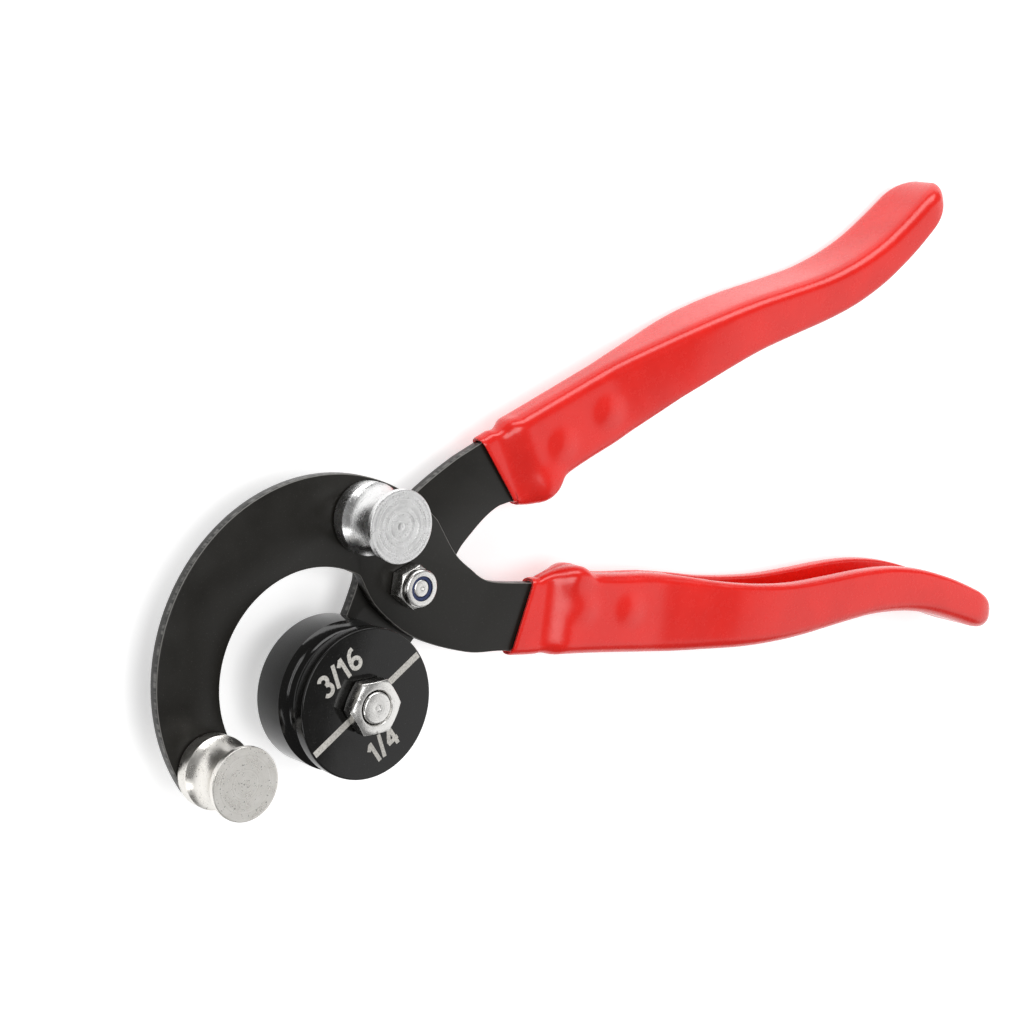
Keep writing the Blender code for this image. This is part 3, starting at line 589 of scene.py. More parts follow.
@dataclass(frozen=True)
class Turned(Coating):
    """Metal fresh from a lathe: rings about an axis, pits and a coating."""

    axis: Point2 = (0.0, 0.0)
    dark: tuple = (0.55, 0.56, 0.57, 1.0)
    light: tuple = (0.80, 0.80, 0.79, 1.0)
    metal: float = 1.0
    gloss: Point2 = (0.20, 0.36)
    ring_rate: float = 2600.0
    ring_share: float = 1.0
    pit_share: float = 0.5
    pit_colour: tuple = (0.10, 0.10, 0.10, 1.0)
    depth: float = 0.03 * MM

    def surface(self, graph: Graph, at: Socket, normal: Socket) -> Surface:
        """Build the turned finish. See the base class for the arguments and the result."""
        moved = graph.add("ShaderNodeMapping", {"Vector": at,
                                                "Location": (-self.axis[0], -self.axis[1], 0.0)})
        split = graph.add("ShaderNodeSeparateXYZ", {0: moved.outputs[0]})
        flat = graph.add("ShaderNodeCombineXYZ", {0: split.outputs[0], 1: split.outputs[1]})
        reach = graph.add("ShaderNodeVectorMath", {0: flat.outputs[0]}, operation="LENGTH").outputs["Value"]
        cut = graph.math("ADD", reach, split.outputs[2])
        ring_node = graph.add("ShaderNodeTexNoise", {"W": cut, "Scale": self.ring_rate, "Detail": 4.0,
                                                     "Roughness": 0.7}, noise_dimensions="1D")
        ring = ring_node.outputs["Fac"]
        cloud = graph.noise(at, 330.0, 4.0)
        pits = graph.ramp(graph.noise(at, 2100.0, 2.0, 0.6), 0.64, 0.70)
        pits = graph.math("MULTIPLY", pits, self.pit_share)
        share = graph.math("MULTIPLY", graph.math("ADD", cloud, ring), 0.5)
        colour = graph.mix(share, self.dark, self.light)
        colour = graph.mix(pits, colour, self.pit_colour)
        rough = graph.ramp(cloud, 0.25, 0.75, *self.gloss)
        rough = graph.math("ADD", rough, graph.math("MULTIPLY", pits, 0.25))
        height = graph.math("SUBTRACT", graph.math("MULTIPLY", ring, self.ring_share),
                            graph.math("MULTIPLY", pits, 1.2))
        extras = () if self.metal else (("Specular IOR Level", 0.34),)
        return Surface(colour, rough, self.metal, height, self.depth, extras)


@dataclass(frozen=True)
class Vinyl(Coating):
    """Glossy dipped vinyl with a slightly uneven skin."""

    deep: tuple = (0.72, 0.009, 0.004, 1.0)
    bright: tuple = (0.79, 0.012, 0.006, 1.0)
    gloss: Point2 = (0.24, 0.29)
    depth: float = 0.05 * MM

    def surface(self, graph: Graph, at: Socket, normal: Socket) -> Surface:
        """Build the vinyl. See the base class for the arguments and the result."""
        sag = graph.noise(at, 70.0, 3.0)
        skin = graph.noise(at, 420.0, 3.0)
        fine = graph.noise(at, 2600.0, 2.0)
        colour = graph.mix(graph.ramp(sag, 0.3, 0.7), self.deep, self.bright)
        dull = graph.math("ADD", skin, graph.math("MULTIPLY", fine, 0.4))
        rough = graph.ramp(dull, 0.4, 1.0, *self.gloss)
        height = graph.math("ADD", sag,
                            graph.math("ADD", graph.math("MULTIPLY", skin, 0.22),
                                       graph.math("MULTIPLY", fine, 0.02)))
        extras = (("Coat Weight", 0.10), ("Coat Roughness", 0.14), ("IOR", 1.50))
        return Surface(colour, rough, 0.0, height, self.depth, extras)


@dataclass(frozen=True)
class Plain(Coating):
    """One colour with a light grain, for filled marks, nylon and bare steel."""

    tint: tuple = (0.5, 0.5, 0.5, 1.0)
    worn: tuple = (0.4, 0.4, 0.4, 1.0)
    metal: float = 0.0
    gloss: Point2 = (0.40, 0.55)
    rate: float = 1500.0

    def surface(self, graph: Graph, at: Socket, normal: Socket) -> Surface:
        """Build the finish. See the base class for the arguments and the result."""
        grain = graph.noise(at, self.rate, 4.0)
        colour = graph.mix(graph.ramp(grain, 0.35, 0.70), self.tint, self.worn)
        rough = graph.ramp(grain, 0.2, 0.8, *self.gloss)
        return Surface(colour, rough, self.metal, grain, 0.03 * MM)


# ---- turned bodies


class TurnedTree:
    """Geometry Nodes tree that turns a profile of (radius, height) points about the axis."""

    NAME = "turned body"

    def tree(self) -> bpy.types.NodeTree:
        """Build the tree once.

        Returns:
            The node group.
        """
        found = bpy.data.node_groups.get(self.NAME)
        if found:
            return found
        tree = bpy.data.node_groups.new(self.NAME, "GeometryNodeTree")
        tree.interface.new_socket("Geometry", in_out="INPUT", socket_type="NodeSocketGeometry")
        for name, kind in (("Steps", "Int"), ("Start", "Float"), ("Sweep", "Float"), ("Centre", "Vector"),
                           ("Material", "Material")):
            tree.interface.new_socket(name, in_out="INPUT", socket_type="NodeSocket" + kind)
        tree.interface.new_socket("Geometry", in_out="OUTPUT", socket_type="NodeSocketGeometry")
        graph = Graph(tree)
        given = graph.add("NodeGroupInput").outputs
        count = graph.add("GeometryNodeAttributeDomainSize", {0: given["Geometry"]}).outputs["Point Count"]
        grid = graph.add("GeometryNodeMeshGrid", {"Vertices X": graph.math("ADD", given["Steps"], 1.0),
                                                  "Vertices Y": count})
        index = graph.add("GeometryNodeInputIndex").outputs[0]
        column = graph.math("FLOOR", graph.math("DIVIDE", index, count))
        row = graph.math("SUBTRACT", index, graph.math("MULTIPLY", column, count))
        place = graph.add("GeometryNodeInputPosition").outputs[0]
        sample = graph.add("GeometryNodeSampleIndex", {"Geometry": given["Geometry"], "Value": place,
                                                       "Index": row}, data_type="FLOAT_VECTOR")
        part = graph.add("ShaderNodeSeparateXYZ", {0: sample.outputs[0]}).outputs
        turn = graph.math("DIVIDE", graph.math("MULTIPLY", column, given["Sweep"]), given["Steps"])
        turn = graph.math("ADD", turn, given["Start"])
        around = graph.add("ShaderNodeCombineXYZ", {
            0: graph.math("MULTIPLY", part[0], graph.math("COSINE", turn)),
            1: graph.math("MULTIPLY", part[0], graph.math("SINE", turn)), 2: part[2]})
        placed = graph.add("ShaderNodeVectorMath", {0: around.outputs[0], 1: given["Centre"]},
                           operation="ADD")
        moved = graph.add("GeometryNodeSetPosition", {"Geometry": grid.outputs["Mesh"],
                                                      "Position": placed.outputs[0]})
        merged = graph.add("GeometryNodeMergeByDistance", {"Geometry": moved.outputs[0], "Distance": WELD})
        real = graph.add("GeometryNodeRealizeInstances", {0: merged.outputs[0]})
        dressed = graph.add("GeometryNodeSetMaterial", {"Geometry": real.outputs[0],
                                                        "Material": given["Material"]})
        graph.add("NodeGroupOutput", {0: dressed.outputs[0]})
        return tree

    def make(self, name: str, centre: Vector, profile: Table, steps: int, start: float = 0.0,
             sweep: float = math.tau, finish: Optional[Coating] = None) -> Item:
        """Turn one body.

        Args:
            name: Name of the object.
            centre: Its axis in the plane.
            profile: (radius, height) points from the axis back to it, or a closed outline.
            steps: Facets round the axis.
            start: Direction of the first facet.
            sweep: How far it goes round.
            finish: What it is dressed in.

        Returns:
            The plain object.
        """
        line = bpy.data.meshes.new(name)
        line.from_pydata([(radius, 0.0, height) for radius, height in profile], [], [])
        item = linked(name, line)
        change = item.modifiers.new("turned", "NODES")
        change.node_group = self.tree()
        values = {"Steps": steps, "Start": start, "Sweep": sweep, "Centre": (centre.x, centre.y, 0.0),
                  "Material": finish.material() if finish else None}
        for socket in change.node_group.interface.items_tree:
            if socket.in_out == "INPUT" and values.get(socket.name) is not None:
                change[socket.identifier] = values[socket.name]
        bake(item)
        tidy_mesh(item.data, cap=sweep < math.tau)
        return item


TURN = TurnedTree()


def rod(centre: Vector, radius: float, low: float, high: float) -> Item:
    """Plain round cutter.

    Args:
        centre: Its axis.
        radius: Its radius.
        low: Its lower end.
        high: Its upper end.

    Returns:
        The rod.
    """
    return TURN.make("rod", centre, [(0.0, low), (radius, low), (radius, high), (0.0, high)], 48)


def rounded(corners: Table, radius: float, steps: int = 4) -> list[Point2]:
    """Round the inner corners of an open profile.

    Args:
        corners: Its corners in order.
        radius: Radius of each rounding.
        steps: Pieces in each rounding.

    Returns:
        The rounded profile.
    """
    made: list[Point2] = [corners[0]]
    for before, here, after in zip(corners, corners[1:], corners[2:]):
        a, b, c = Vector(before), Vector(here), Vector(after)
        reach = min(radius, (a - b).length * 0.49, (c - b).length * 0.49)
        enter, leave = b + (a - b).normalized() * reach, b + (c - b).normalized() * reach
        for k in range(steps + 1):
            t = k / steps
            spot = enter * (1 - t) ** 2 + b * 2 * t * (1 - t) + leave * t * t
            made.append((spot.x, spot.y))
    return made + [corners[-1]]


# ---- shared measures


@dataclass(frozen=True)
class Measures:
    """Sizes and places that several pieces share, read from the frame where it has them."""

    pivot: Vector
    front: float
    die: Vector
    upper_roller: Vector
    lower_roller: Vector
    gap: float = 0.3 * MM
    plate: float = 3.0 * MM

    @classmethod
    def from_frame(cls) -> "Measures":
        """Read the places of the axes.

        Returns:
            The measures.
        """
        centres = []
        for node in ("pivot_washer", "die_washer", "upper_roller_washer", "lower_roller_washer"):
            low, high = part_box(node)
            centres.append(Vector(((low.x + high.x) / 2, (low.y + high.y) / 2)))
        pivot = centres[0]
        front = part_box("front_arm")[1].z
        return cls(pivot, front, centres[1] - pivot, centres[2] - pivot, centres[3] - pivot)

    @property
    def rear_front(self) -> float:
        """Front face of the rear arm."""
        return -self.plate - self.gap

    @property
    def rear_back(self) -> float:
        """Back face of the rear arm."""
        return self.rear_front - self.plate

    def world(self, spot: Vector) -> Point2:
        """Plane place in the row frame.

        Args:
            spot: Place from the pivot.

        Returns:
            Its x and y.
        """
        return (spot.x + self.pivot.x, spot.y + self.pivot.y)

    def settle(self, item: Item, finish: Coating, body: Body, nodes: Sequence[str]) -> Item:
        """Put a finished piece in the frame.

        Args:
            item: The piece, built about the pivot.
            finish: Its coating.
            body: The body it moves with.
            nodes: CAD nodes that it stands for.

        Returns:
            The piece.
        """
        item.data.transform(Matrix.Translation((self.pivot.x, self.pivot.y, self.front)))
        item.data.materials.clear()
        item.data.materials.append(finish.material())
        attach(item, body.value)
        if nodes:
            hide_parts(*nodes)
        log.info("%s: %d faces on %s", item.name, len(item.data.polygons), body.value)
        return item


# ---- handles


@dataclass(frozen=True)
class HandleShape:
    """Outline of both handles in shares of their length and depth."""

    length: float = 219.0 * MM
    depth: float = 21.0 * MM
    width: float = 20.0 * MM
    pinched: float = 10.2 * MM
    tang_width: float = 5.4 * MM
    lean: float = math.radians(15.7)
    wall: float = 4.8 * MM
    skin: float = 0.9 * MM
    channel_start: float = 0.224
    step: Point2 = (0.2035, 0.2430)
    tang: Point2 = (0.150, 0.386)
    slot_start: float = 0.400
    slot_run: float = 9.0 * MM
    slot_nose: float = 5.0 * MM
    tip_start: float = 0.946
    tip_power: float = 2.35
    web_corner: float = 3.4 * MM
    swell: float = 0.6 * MM
    crown: float = 0.45 * MM
    lip_corner: float = 1.6 * MM
    web: Table = ((0.100, 0.87), (0.180, 0.89), (0.210, 0.875), (0.240, 0.87), (0.334, 0.82),
                  (0.402, 0.78), (0.460, 0.735), (0.520, 0.685), (0.575, 0.61), (0.620, 0.525),
                  (0.662, 0.425), (0.704, 0.325), (0.740, 0.250), (0.775, 0.208), (0.812, 0.195),
                  (0.850, 0.220), (0.895, 0.300), (0.943, 0.410), (1.000, 0.520))
    open: Table = ((0.100, -0.09), (0.180, -0.09), (0.197, -0.11), (0.219, -0.20), (0.240, -0.262),
                   (0.258, -0.255), (0.273, -0.178), (0.290, -0.162), (0.320, -0.160), (0.365, -0.165),
                   (0.420, -0.125),
                   (0.475, -0.075), (0.533, -0.060), (0.592, -0.090), (0.656, -0.185), (0.710, -0.275),
                   (0.755, -0.325), (0.790, -0.330), (0.825, -0.305), (0.860, -0.245), (0.895, -0.165),
                   (0.930, -0.060), (0.965, 0.060), (1.000, 0.180))
    flare: Table = ((0.100, 0.0), (0.375, 0.0), (0.411, 0.16), (0.457, 0.45), (0.502, 0.76),
                    (0.550, 0.95), (0.600, 1.0), (0.860, 1.0), (0.935, 0.94), (1.000, 0.90))

    def web_line(self, along: float) -> float:
        """Outer edge of the grip.

        Args:
            along: Length from the pivot.

        Returns:
            Distance from the handle's line.
        """
        return self.depth * blend(self.web, along / self.length)

    def open_line(self, along: float) -> float:
        """Edge of the grip towards the other handle.

        Args:
            along: Length from the pivot.

        Returns:
            Distance from the handle's line.
        """
        return self.depth * blend(self.open, along / self.length)

    def half_width(self, along: float) -> float:
        """Half the width of the grip.

        Args:
            along: Length from the pivot.

        Returns:
            The half width.
        """
        share = along / self.length
        flare = min(max(blend(self.flare, share), 0.0), 1.0)
        wide = self.pinched + (self.width - self.pinched) * flare
        step = smooth((share - self.step[0]) / (self.step[1] - self.step[0]))
        return (self.tang_width + (wide - self.tang_width) * step) / 2


@dataclass(frozen=True)
class Handle:
    """One handle: where it lies, its dipped grip and the tang inside it."""

    side: str
    sense: int
    back: float
    out: float
    mid: float
    mouth: Point2
    rivets: Point2
    shortened: float
    lump: float
    beading: float
    fuller: Point2
    shape: HandleShape = HandleShape()
    spacing: float = 1.2 * MM
    rivet_out: float = 5.2 * MM
    rivet_rise: float = 0.6 * MM
    sag: float = 0.246
    bump: float = 5.9 * MM
    bump_height: float = 0.78 * MM
    sag_in: float = 2.5 * MM
    sag_reach: float = 7.5 * MM
    sag_height: float = 0.8 * MM
    side_from: float = 2.0 * MM
    grow: Point2 = (0.24, 0.20)
    notched: Point2 = (0.2125, 0.011)
    beaded: Point2 = (0.2300, 0.013)
    bulged: Point2 = (0.224, 0.060)
    tang_corner: float = 1.8 * MM
    tang_inner: tuple[float, ...] = (0.320, 0.286, 0.268, 0.232)
    tang_outer: tuple[float, ...] = (0.208, 0.196, 0.180)
    slot_edge: float = 0.9 * MM
    slot_floor: float = 2.6 * MM
    tuck: Point2 = (3.0 * MM, 0.2 * MM)
    lip_round: float = 0.5 * MM

    def plane(self, along: float, across: float) -> Vector:
        """Plane point of this handle.

        Args:
            along: Length from the pivot.
            across: Distance towards the web.

        Returns:
            The point.
        """
        cos, sin = math.cos(self.shape.lean), math.sin(self.shape.lean)
        x = -self.back + along * cos - across * sin
        return Vector((x, self.sense * (self.out + along * sin + across * cos)))

    def tang(self, skin: float, inside: float) -> tuple[list[Vector], list[Vector]]:
        """Edges of the tang, out along the web and back along the open side.

        Args:
            skin: Vinyl and air over the bare tang.
            inside: Vinyl, air and steel over it in the channel.

        Returns:
            Both edges.
        """
        shape = self.shape
        neck, end = (shape.length * s for s in shape.tang)
        shoulder = shape.length * shape.channel_start
        corner = self.tang_corner
        web = [self.plane(neck, shape.web_line(neck) - skin),
               self.plane(shoulder, shape.web_line(shoulder) - skin),
               self.plane(shoulder, shape.web_line(shoulder) - inside),
               self.plane(end - corner, shape.web_line(end) - inside),
               self.plane(end, shape.web_line(end) - inside - corner)]
        back = [end] + [shape.length * s for s in self.tang_inner]
        edge = [self.plane(s, shape.open_line(s) + inside / 2) for s in back]
        edge += [self.plane(s, shape.open_line(s) + skin - self.bulge(s))
                 for s in (shape.length * share for share in self.tang_outer)]
        return web, edge

    def corner(self, edge: float, half: float, side: int, radius: float, steps: int) -> list[Point2]:
        """Round corner of a section, from its side face to its edge face.

        Args:
            edge: Place of the edge face.
            half: Half width of the section.
            side: Which side, 1 or -1.
            radius: Radius, negative where the edge is the low one.
            steps: Pieces in the corner.

        Returns:
            (across, rise) points.
        """
        made = []
        for k in range(steps + 1):
            swing = math.pi / 2 * k / steps
            made.append((edge - radius * (1 - math.sin(swing)),
                         side * (half - abs(radius) * (1 - math.cos(swing)))))
        return made

    def section(self, low: float, high: float, half: float, slot: Point2) -> list[Point2]:
        """Rounded box with a slot in its open side.

        Args:
            low: Open edge.
            high: Web edge.
            half: Half width.
            slot: Half width and depth of the slot.

        Returns:
            (across, rise) points, as many at every station.
        """
        room = max(min(half, (high - low) / 2) - self.spacing / 6, self.spacing / 60)
        pinch = smooth((self.shape.width - 2 * half) / (self.shape.width - self.shape.pinched))
        web = min(self.shape.web_corner, room)
        lip = min(self.shape.lip_corner * (1 + pinch * 0.9), room * 0.8)
        ring = self.corner(high, half, 1, web, 7)
        ring += self.corner(high, half, -1, web, 7)[::-1]
        wide, deep = slot
        wide = min(wide, half - lip - MM / 20)
        edge_round = min(self.slot_edge, deep / 3, max(half - lip - wide, MM / 50) * 0.9)
        floor_round = min(self.slot_floor, deep / 3, wide * 0.9)
        inner: list[Point2] = []
        for k in range(5):
            swing = math.pi / 2 * k / 4
            inner.append((low + edge_round * (1 - math.cos(swing)),
                          wide + edge_round * (1 - math.sin(swing))))
        for k in range(6):
            swing = math.pi / 2 * k / 5
            inner.append((low + deep - floor_round * (1 - math.sin(swing)),
                          wide - floor_round * (1 - math.cos(swing))))
        low_side = self.corner(low, half, -1, -lip, 5) + [(a, -r) for a, r in inner]
        high_side = self.corner(low, half, 1, -lip, 5) + inner
        return self.divided(ring + low_side + high_side[::-1])

    def divided(self, ring: list[Point2]) -> list[Point2]:
        """Split the long flat sides of a section.

        Args:
            ring: Its corners.

        Returns:
            The ring with more points on its side faces and its web.
        """
        splits = {7: 6, 15: 14, len(ring) - 1: 14}
        made: list[Point2] = []
        for k, (a, r) in enumerate(ring):
            b, s = ring[(k + 1) % len(ring)]
            count = splits.get(k, 1)
            made += [(a + (b - a) * j / count, r + (s - r) * j / count) for j in range(count)]
        return made

    def slot_at(self, along: float, low: float, high: float, half: float) -> Point2:
        """Slot of the pressed channel at one station.

        Args:
            along: Length from the pivot.
            low: Open edge there.
            high: Web edge there.
            half: Half width there.

        Returns:
            Its half width and depth.
        """
        shape = self.shape
        tip = shape.length - self.shortened - shape.wall - shape.slot_nose
        shoulder = tip - shape.length * (1 - shape.tip_start)
        share = min(max((along - shoulder) / (tip - shoulder), 0.0), 1.0)
        ending = max(1 - share ** shape.tip_power, 0.0) ** (1 / shape.tip_power)
        starting = smooth((along - shape.length * shape.slot_start) / shape.slot_run)
        wide = max(half - shape.wall, 0.9 * MM) * max(ending, 0.1)
        deep = max(high - shape.wall - low, MM) * starting * ending
        return wide, max(deep, MM / 100)

    def relief(self, along: float, across: float, rise: float) -> float:
        """Vinyl raised over the rivet heads.

        Args:
            along: Length from the pivot.
            across: Distance towards the web.
            rise: Height from the middle.

        Returns:
            The new rise.
        """
        raised = 0.0
        for share, out in zip(self.rivets, (self.rivet_out, self.rivet_out + self.rivet_rise)):
            far = math.hypot(along - self.shape.length * share, across - out)
            raised += self.bump_height * max(1.0 - (far / self.bump) ** 2, 0.0) ** 2
        low = self.shape.length * self.sag
        far = math.hypot(along - low, across - self.shape.open_line(low) - self.sag_in) / self.sag_reach
        raised += self.sag_height * max(1.0 - far * far, 0.0) ** 2
        return rise + math.copysign(raised, rise) if abs(rise) > self.side_from else rise

    def stations(self) -> list[Point2]:
        """Lengths of the sections past the mouth and how full each one is.

        Returns:
            (length, scale) pairs up to the tip.
        """
        shape = self.shape
        tip = shape.length - self.shortened
        shoulder = tip - shape.length * (1 - shape.tip_start)
        start = shape.length * shape.step[0]
        count = round((shoulder - start) / self.spacing)
        run = [(start + (shoulder - start) * k / count, 1.0) for k in range(count + 1)]
        for k in range(1, 22):
            share = math.sin(math.pi / 2 * k / 22)
            run.append((shoulder + (tip - shoulder) * share,
                        (1 - share ** shape.tip_power) ** (1 / shape.tip_power)))
        return run

    def ring(self, along: float, scale: float, inset: float,
             sheared: float) -> list[tuple[float, float, float]]:
        """One section of the grip in the pivot's frame.

        Args:
            along: Length from the pivot.
            scale: How full the section is.
            inset: How far it is drawn in.
            sheared: How much it leans with the mouth, from 0 to 1.

        Returns:
            Its points.
        """
        shape = self.shape
        lip, back = (shape.length * share for share in self.mouth)
        grown = smooth((along / shape.length - self.grow[0]) / self.grow[1])
        low = shape.open_line(along) + inset - self.bulge(along) - self.fuller[0] * grown
        high = shape.web_line(along) - inset + self.bead(along) + self.fuller[1] * grown
        middle, reach = (low + high) / 2, (high - low) / 2 * scale
        half = (shape.half_width(along) + shape.swell * grown - inset) * scale
        low, high = middle - reach, middle + reach
        crown = shape.crown * grown / half
        points = []
        for across, rise in self.section(low, high, half, self.slot_at(along, low, high, half)):
            lean = (across - middle) / (shape.open_line(lip) - shape.web_line(back)) * (lip - back)
            rise = self.relief(along, across, rise)
            rise *= 1.0 - crown * ((across - middle) / reach) ** 2
            flat = self.plane(along + lean * sheared, across)
            points.append((flat.x, flat.y, self.mid + rise))
        return points

    def bead(self, along: float) -> float:
        """Notch before the channel's end and the bead of vinyl past it, on the web.

        Args:
            along: Length from the pivot.

        Returns:
            How much further out the web edge lies.
        """
        share = along / self.shape.length
        notch = smooth(1.0 - abs(share - self.notched[0]) / self.notched[1])
        rise = smooth(1.0 - abs(share - self.beaded[0]) / self.beaded[1])
        return self.beading * (0.35 * rise - 0.60 * notch)

    def bulge(self, along: float) -> float:
        """Extra vinyl that sagged on the open side by the channel's end.

        Args:
            along: Length from the pivot.

        Returns:
            How much further out the open edge lies.
        """
        middle, reach = (self.shape.length * share for share in self.bulged)
        return self.lump * smooth(1.0 - abs(along - middle) / reach)

    def grip(self) -> Item:
        """Dipped vinyl grip from its mouth to its tip.

        Returns:
            The grip.
        """
        shape = self.shape
        lip, back = (shape.length * share for share in self.mouth)
        mouth, first = (lip + back) / 2, shape.length * shape.step[0]
        rings = [self.ring(mouth + deep, 1.0, shape.skin, 1.0) for deep in self.tuck]
        for k in range(1, 5):
            swing = math.pi / 2 * k / 4
            rings.append(self.ring(mouth + self.lip_round * (1 - math.sin(swing)), 1.0,
                                   shape.skin * (1 - k / 5), 1.0))
        rings.append(self.ring(mouth + 0.6 * MM, 1.0, 0.0, 1.0))
        count = 10
        start = mouth + 1.2 * MM
        for k in range(count):
            share = k / count
            rings.append(self.ring(start + (first - start) * share, 1.0, 0.0, 1.0 - smooth(share)))
        rings += [self.ring(along, scale, 0.0, 0.0) for along, scale in self.stations()]
        return loft(self.side + "_grip_vinyl", rings)


# ---- arms


@dataclass(frozen=True)
class Arms:
    """The C-shaped front arm and the rear arm with the die's jaw."""

    measures: Measures
    upper: Handle
    lower: Handle
    boss: float = 14.0 * MM
    c_end: float = 8.3 * MM
    outer_centre: Point2 = (0.511, 0.180)
    inner_centre: Point2 = (0.459, 0.173)
    outer_stop: float = math.radians(35.0)
    inner_stop: float = math.radians(52.0)
    jaw_end: float = 10.6 * MM
    jaw_from: float = math.radians(96.0)
    jaw_to: float = math.radians(292.0)
    step: float = math.radians(2.0)
    edge: float = 0.35 * MM
    pivot_bore: float = 3.3 * MM
    axle_bore: float = 4.3 * MM
    tang_skin: float = 1.2 * MM
    tang_inside: float = 3.6 * MM
    throat: Table = ((-0.69, -0.27), (0.04, -1.04), (1.12, -1.62))
    neck: Table = ((1.84, -0.44), (1.44, -0.09), (1.13, 0.30))
    crown: Table = ((0.60, 1.55), (0.28, 1.26), (0.00, 1.02), (-0.48, 0.84), (-0.80, 0.52),
                    (-0.91, 0.21), (-1.21, -0.28), (-1.47, -0.60))
    jaw_right: Table = ((-0.62, -1.78), (0.09, -1.20), (0.66, -0.74), (1.06, -0.26), (1.36, 0.20),
                        (1.72, 0.48), (2.10, 0.71))

    def beside(self, shares: Point2) -> Vector:
        """Centre of an arc of the C, from shares of the line between the rollers.

        Args:
            shares: Along that line and aside of it.

        Returns:
            The centre.
        """
        low = self.measures.lower_roller
        line = self.measures.upper_roller - low
        return low + line * shares[0] + Vector((line.y, -line.x)) * shares[1]

    def boss_points(self, shares: Table) -> list[Vector]:
        """Points given in shares of the boss.

        Args:
            shares: Their shares.

        Returns:
            The points.
        """
        return [Vector(pair) * self.boss for pair in shares]

    def plate(self, name: str, outline: Sequence[Vector], low: float,
              bores: Sequence[tuple[Vector, float]]) -> Item:
        """Flat arm with softened edges and its bores.

        Args:
            name: Name of the piece.
            outline: Its outline.
            low: Its back face.
            bores: Places and radii of its holes.

        Returns:
            The arm.
        """
        high = low + self.measures.plate
        item = loft(name, [[(p.x, p.y, low) for p in outline], [(p.x, p.y, high) for p in outline]])
        soften(item, self.edge, 3)
        return combine(item, [rod(at, radius, low - MM, high + MM) for at, radius in bores], "DIFFERENCE")

    def front(self) -> Item:
        """C-shaped arm that carries both rollers.

        Returns:
            The arm.
        """
        at = self.measures
        outer, inner = self.beside(self.outer_centre), self.beside(self.inner_centre)
        outer_turn = direction(at.lower_roller - outer)
        inner_turn = direction(at.lower_roller - inner)
        big = arc(outer, (at.lower_roller - outer).length + self.c_end, self.outer_stop, outer_turn,
                  self.step)
        end = arc(at.lower_roller, self.c_end, outer_turn, inner_turn + math.pi, self.step * 3)
        small = arc(inner, (at.lower_roller - inner).length - self.c_end, inner_turn, self.inner_stop,
                    self.step)
        web, edge = self.lower.tang(self.tang_skin, self.tang_inside)
        throat = flowing([small[-1]] + self.boss_points(self.throat) + web[:1], small[-2], web[1], 12)
        neck = flowing(edge[-1:] + self.boss_points(self.neck) + big[:1], edge[-2], big[1], 12)
        outline = big + end[1:-1] + small + throat[1:] + web[1:] + edge + neck[1:-1]
        bores = [(Vector((0.0, 0.0)), self.pivot_bore), (at.upper_roller, self.axle_bore),
                 (at.lower_roller, self.axle_bore)]
        return self.plate("front_arm_steel", outline, -at.plate, bores)

    def rear(self) -> Item:
        """Arm behind it, with the jaw of the die.

        Returns:
            The arm.
        """
        at = self.measures
        web, edge = self.upper.tang(self.tang_skin, self.tang_inside)
        end = arc(at.die, self.jaw_end, self.jaw_from, self.jaw_to, self.step * 3)
        left = flowing(web[:1] + self.boss_points(self.crown) + end[:1], web[1], end[1], 12)
        right = flowing(end[-1:] + self.boss_points(self.jaw_right) + edge[-1:], end[-2], edge[-2], 12)
        outline = list(reversed(web[1:])) + left + end[1:-1] + right + list(reversed(edge[:-1]))
        bores = [(Vector((0.0, 0.0)), self.pivot_bore), (at.die, self.axle_bore)]
        return self.plate("rear_arm_steel", outline, at.rear_back, bores)

    def build(self) -> None:
        """Build and place both arms."""
        at = self.measures
        front_finish = BlackPlate("black_steel_front", "black_steel", at.front)
        rear_finish = BlackPlate("black_steel_rear", "black_steel", at.front + at.rear_front)
        at.settle(self.front(), front_finish, Body.FRONT, ["front_arm"])
        at.settle(self.rear(), rear_finish, Body.REAR, ["rear_arm"])


# ---- fasteners


@dataclass(frozen=True)
class Hexagon:
    """Hexagon with turned corners, as nuts and bolt heads have."""

    flats: float
    turn: float
    edge: float = 0.12 * MM
    face_share: float = 0.985
    slope: float = 0.52

    def block(self, name: str, centre: Vector, low: float, high: float,
              chamfers: tuple[bool, bool]) -> Item:
        """Build the block.

        Args:
            name: Name of the object.
            centre: Its axis.
            low: Its lower face.
            high: Its upper face.
            chamfers: Whether the lower and the upper corners are turned.

        Returns:
            The block.
        """
        reach = self.flats / math.sqrt(3)
        face = self.flats / 2 * self.face_share
        drop = (reach - face) * self.slope
        prism = TURN.make(name, centre, [(0.0, low), (reach, low), (reach, high), (0.0, high)], 6,
                          self.turn)
        wide = reach + MM
        lower = [(face, low), (wide, low + drop + MM * self.slope)] if chamfers[0] else [(wide, low - MM)]
        upper = ([(wide, high - drop - MM * self.slope), (face, high)] if chamfers[1]
                 else [(wide, high + MM)])
        ends = low - (0.0 if chamfers[0] else MM), high + (0.0 if chamfers[1] else MM)
        keep = TURN.make("keep", centre, [(0.0, ends[0])] + lower + upper + [(0.0, ends[1])], 96)
        combine(prism, [keep], "INTERSECT")
        return soften(prism, self.edge, 2)


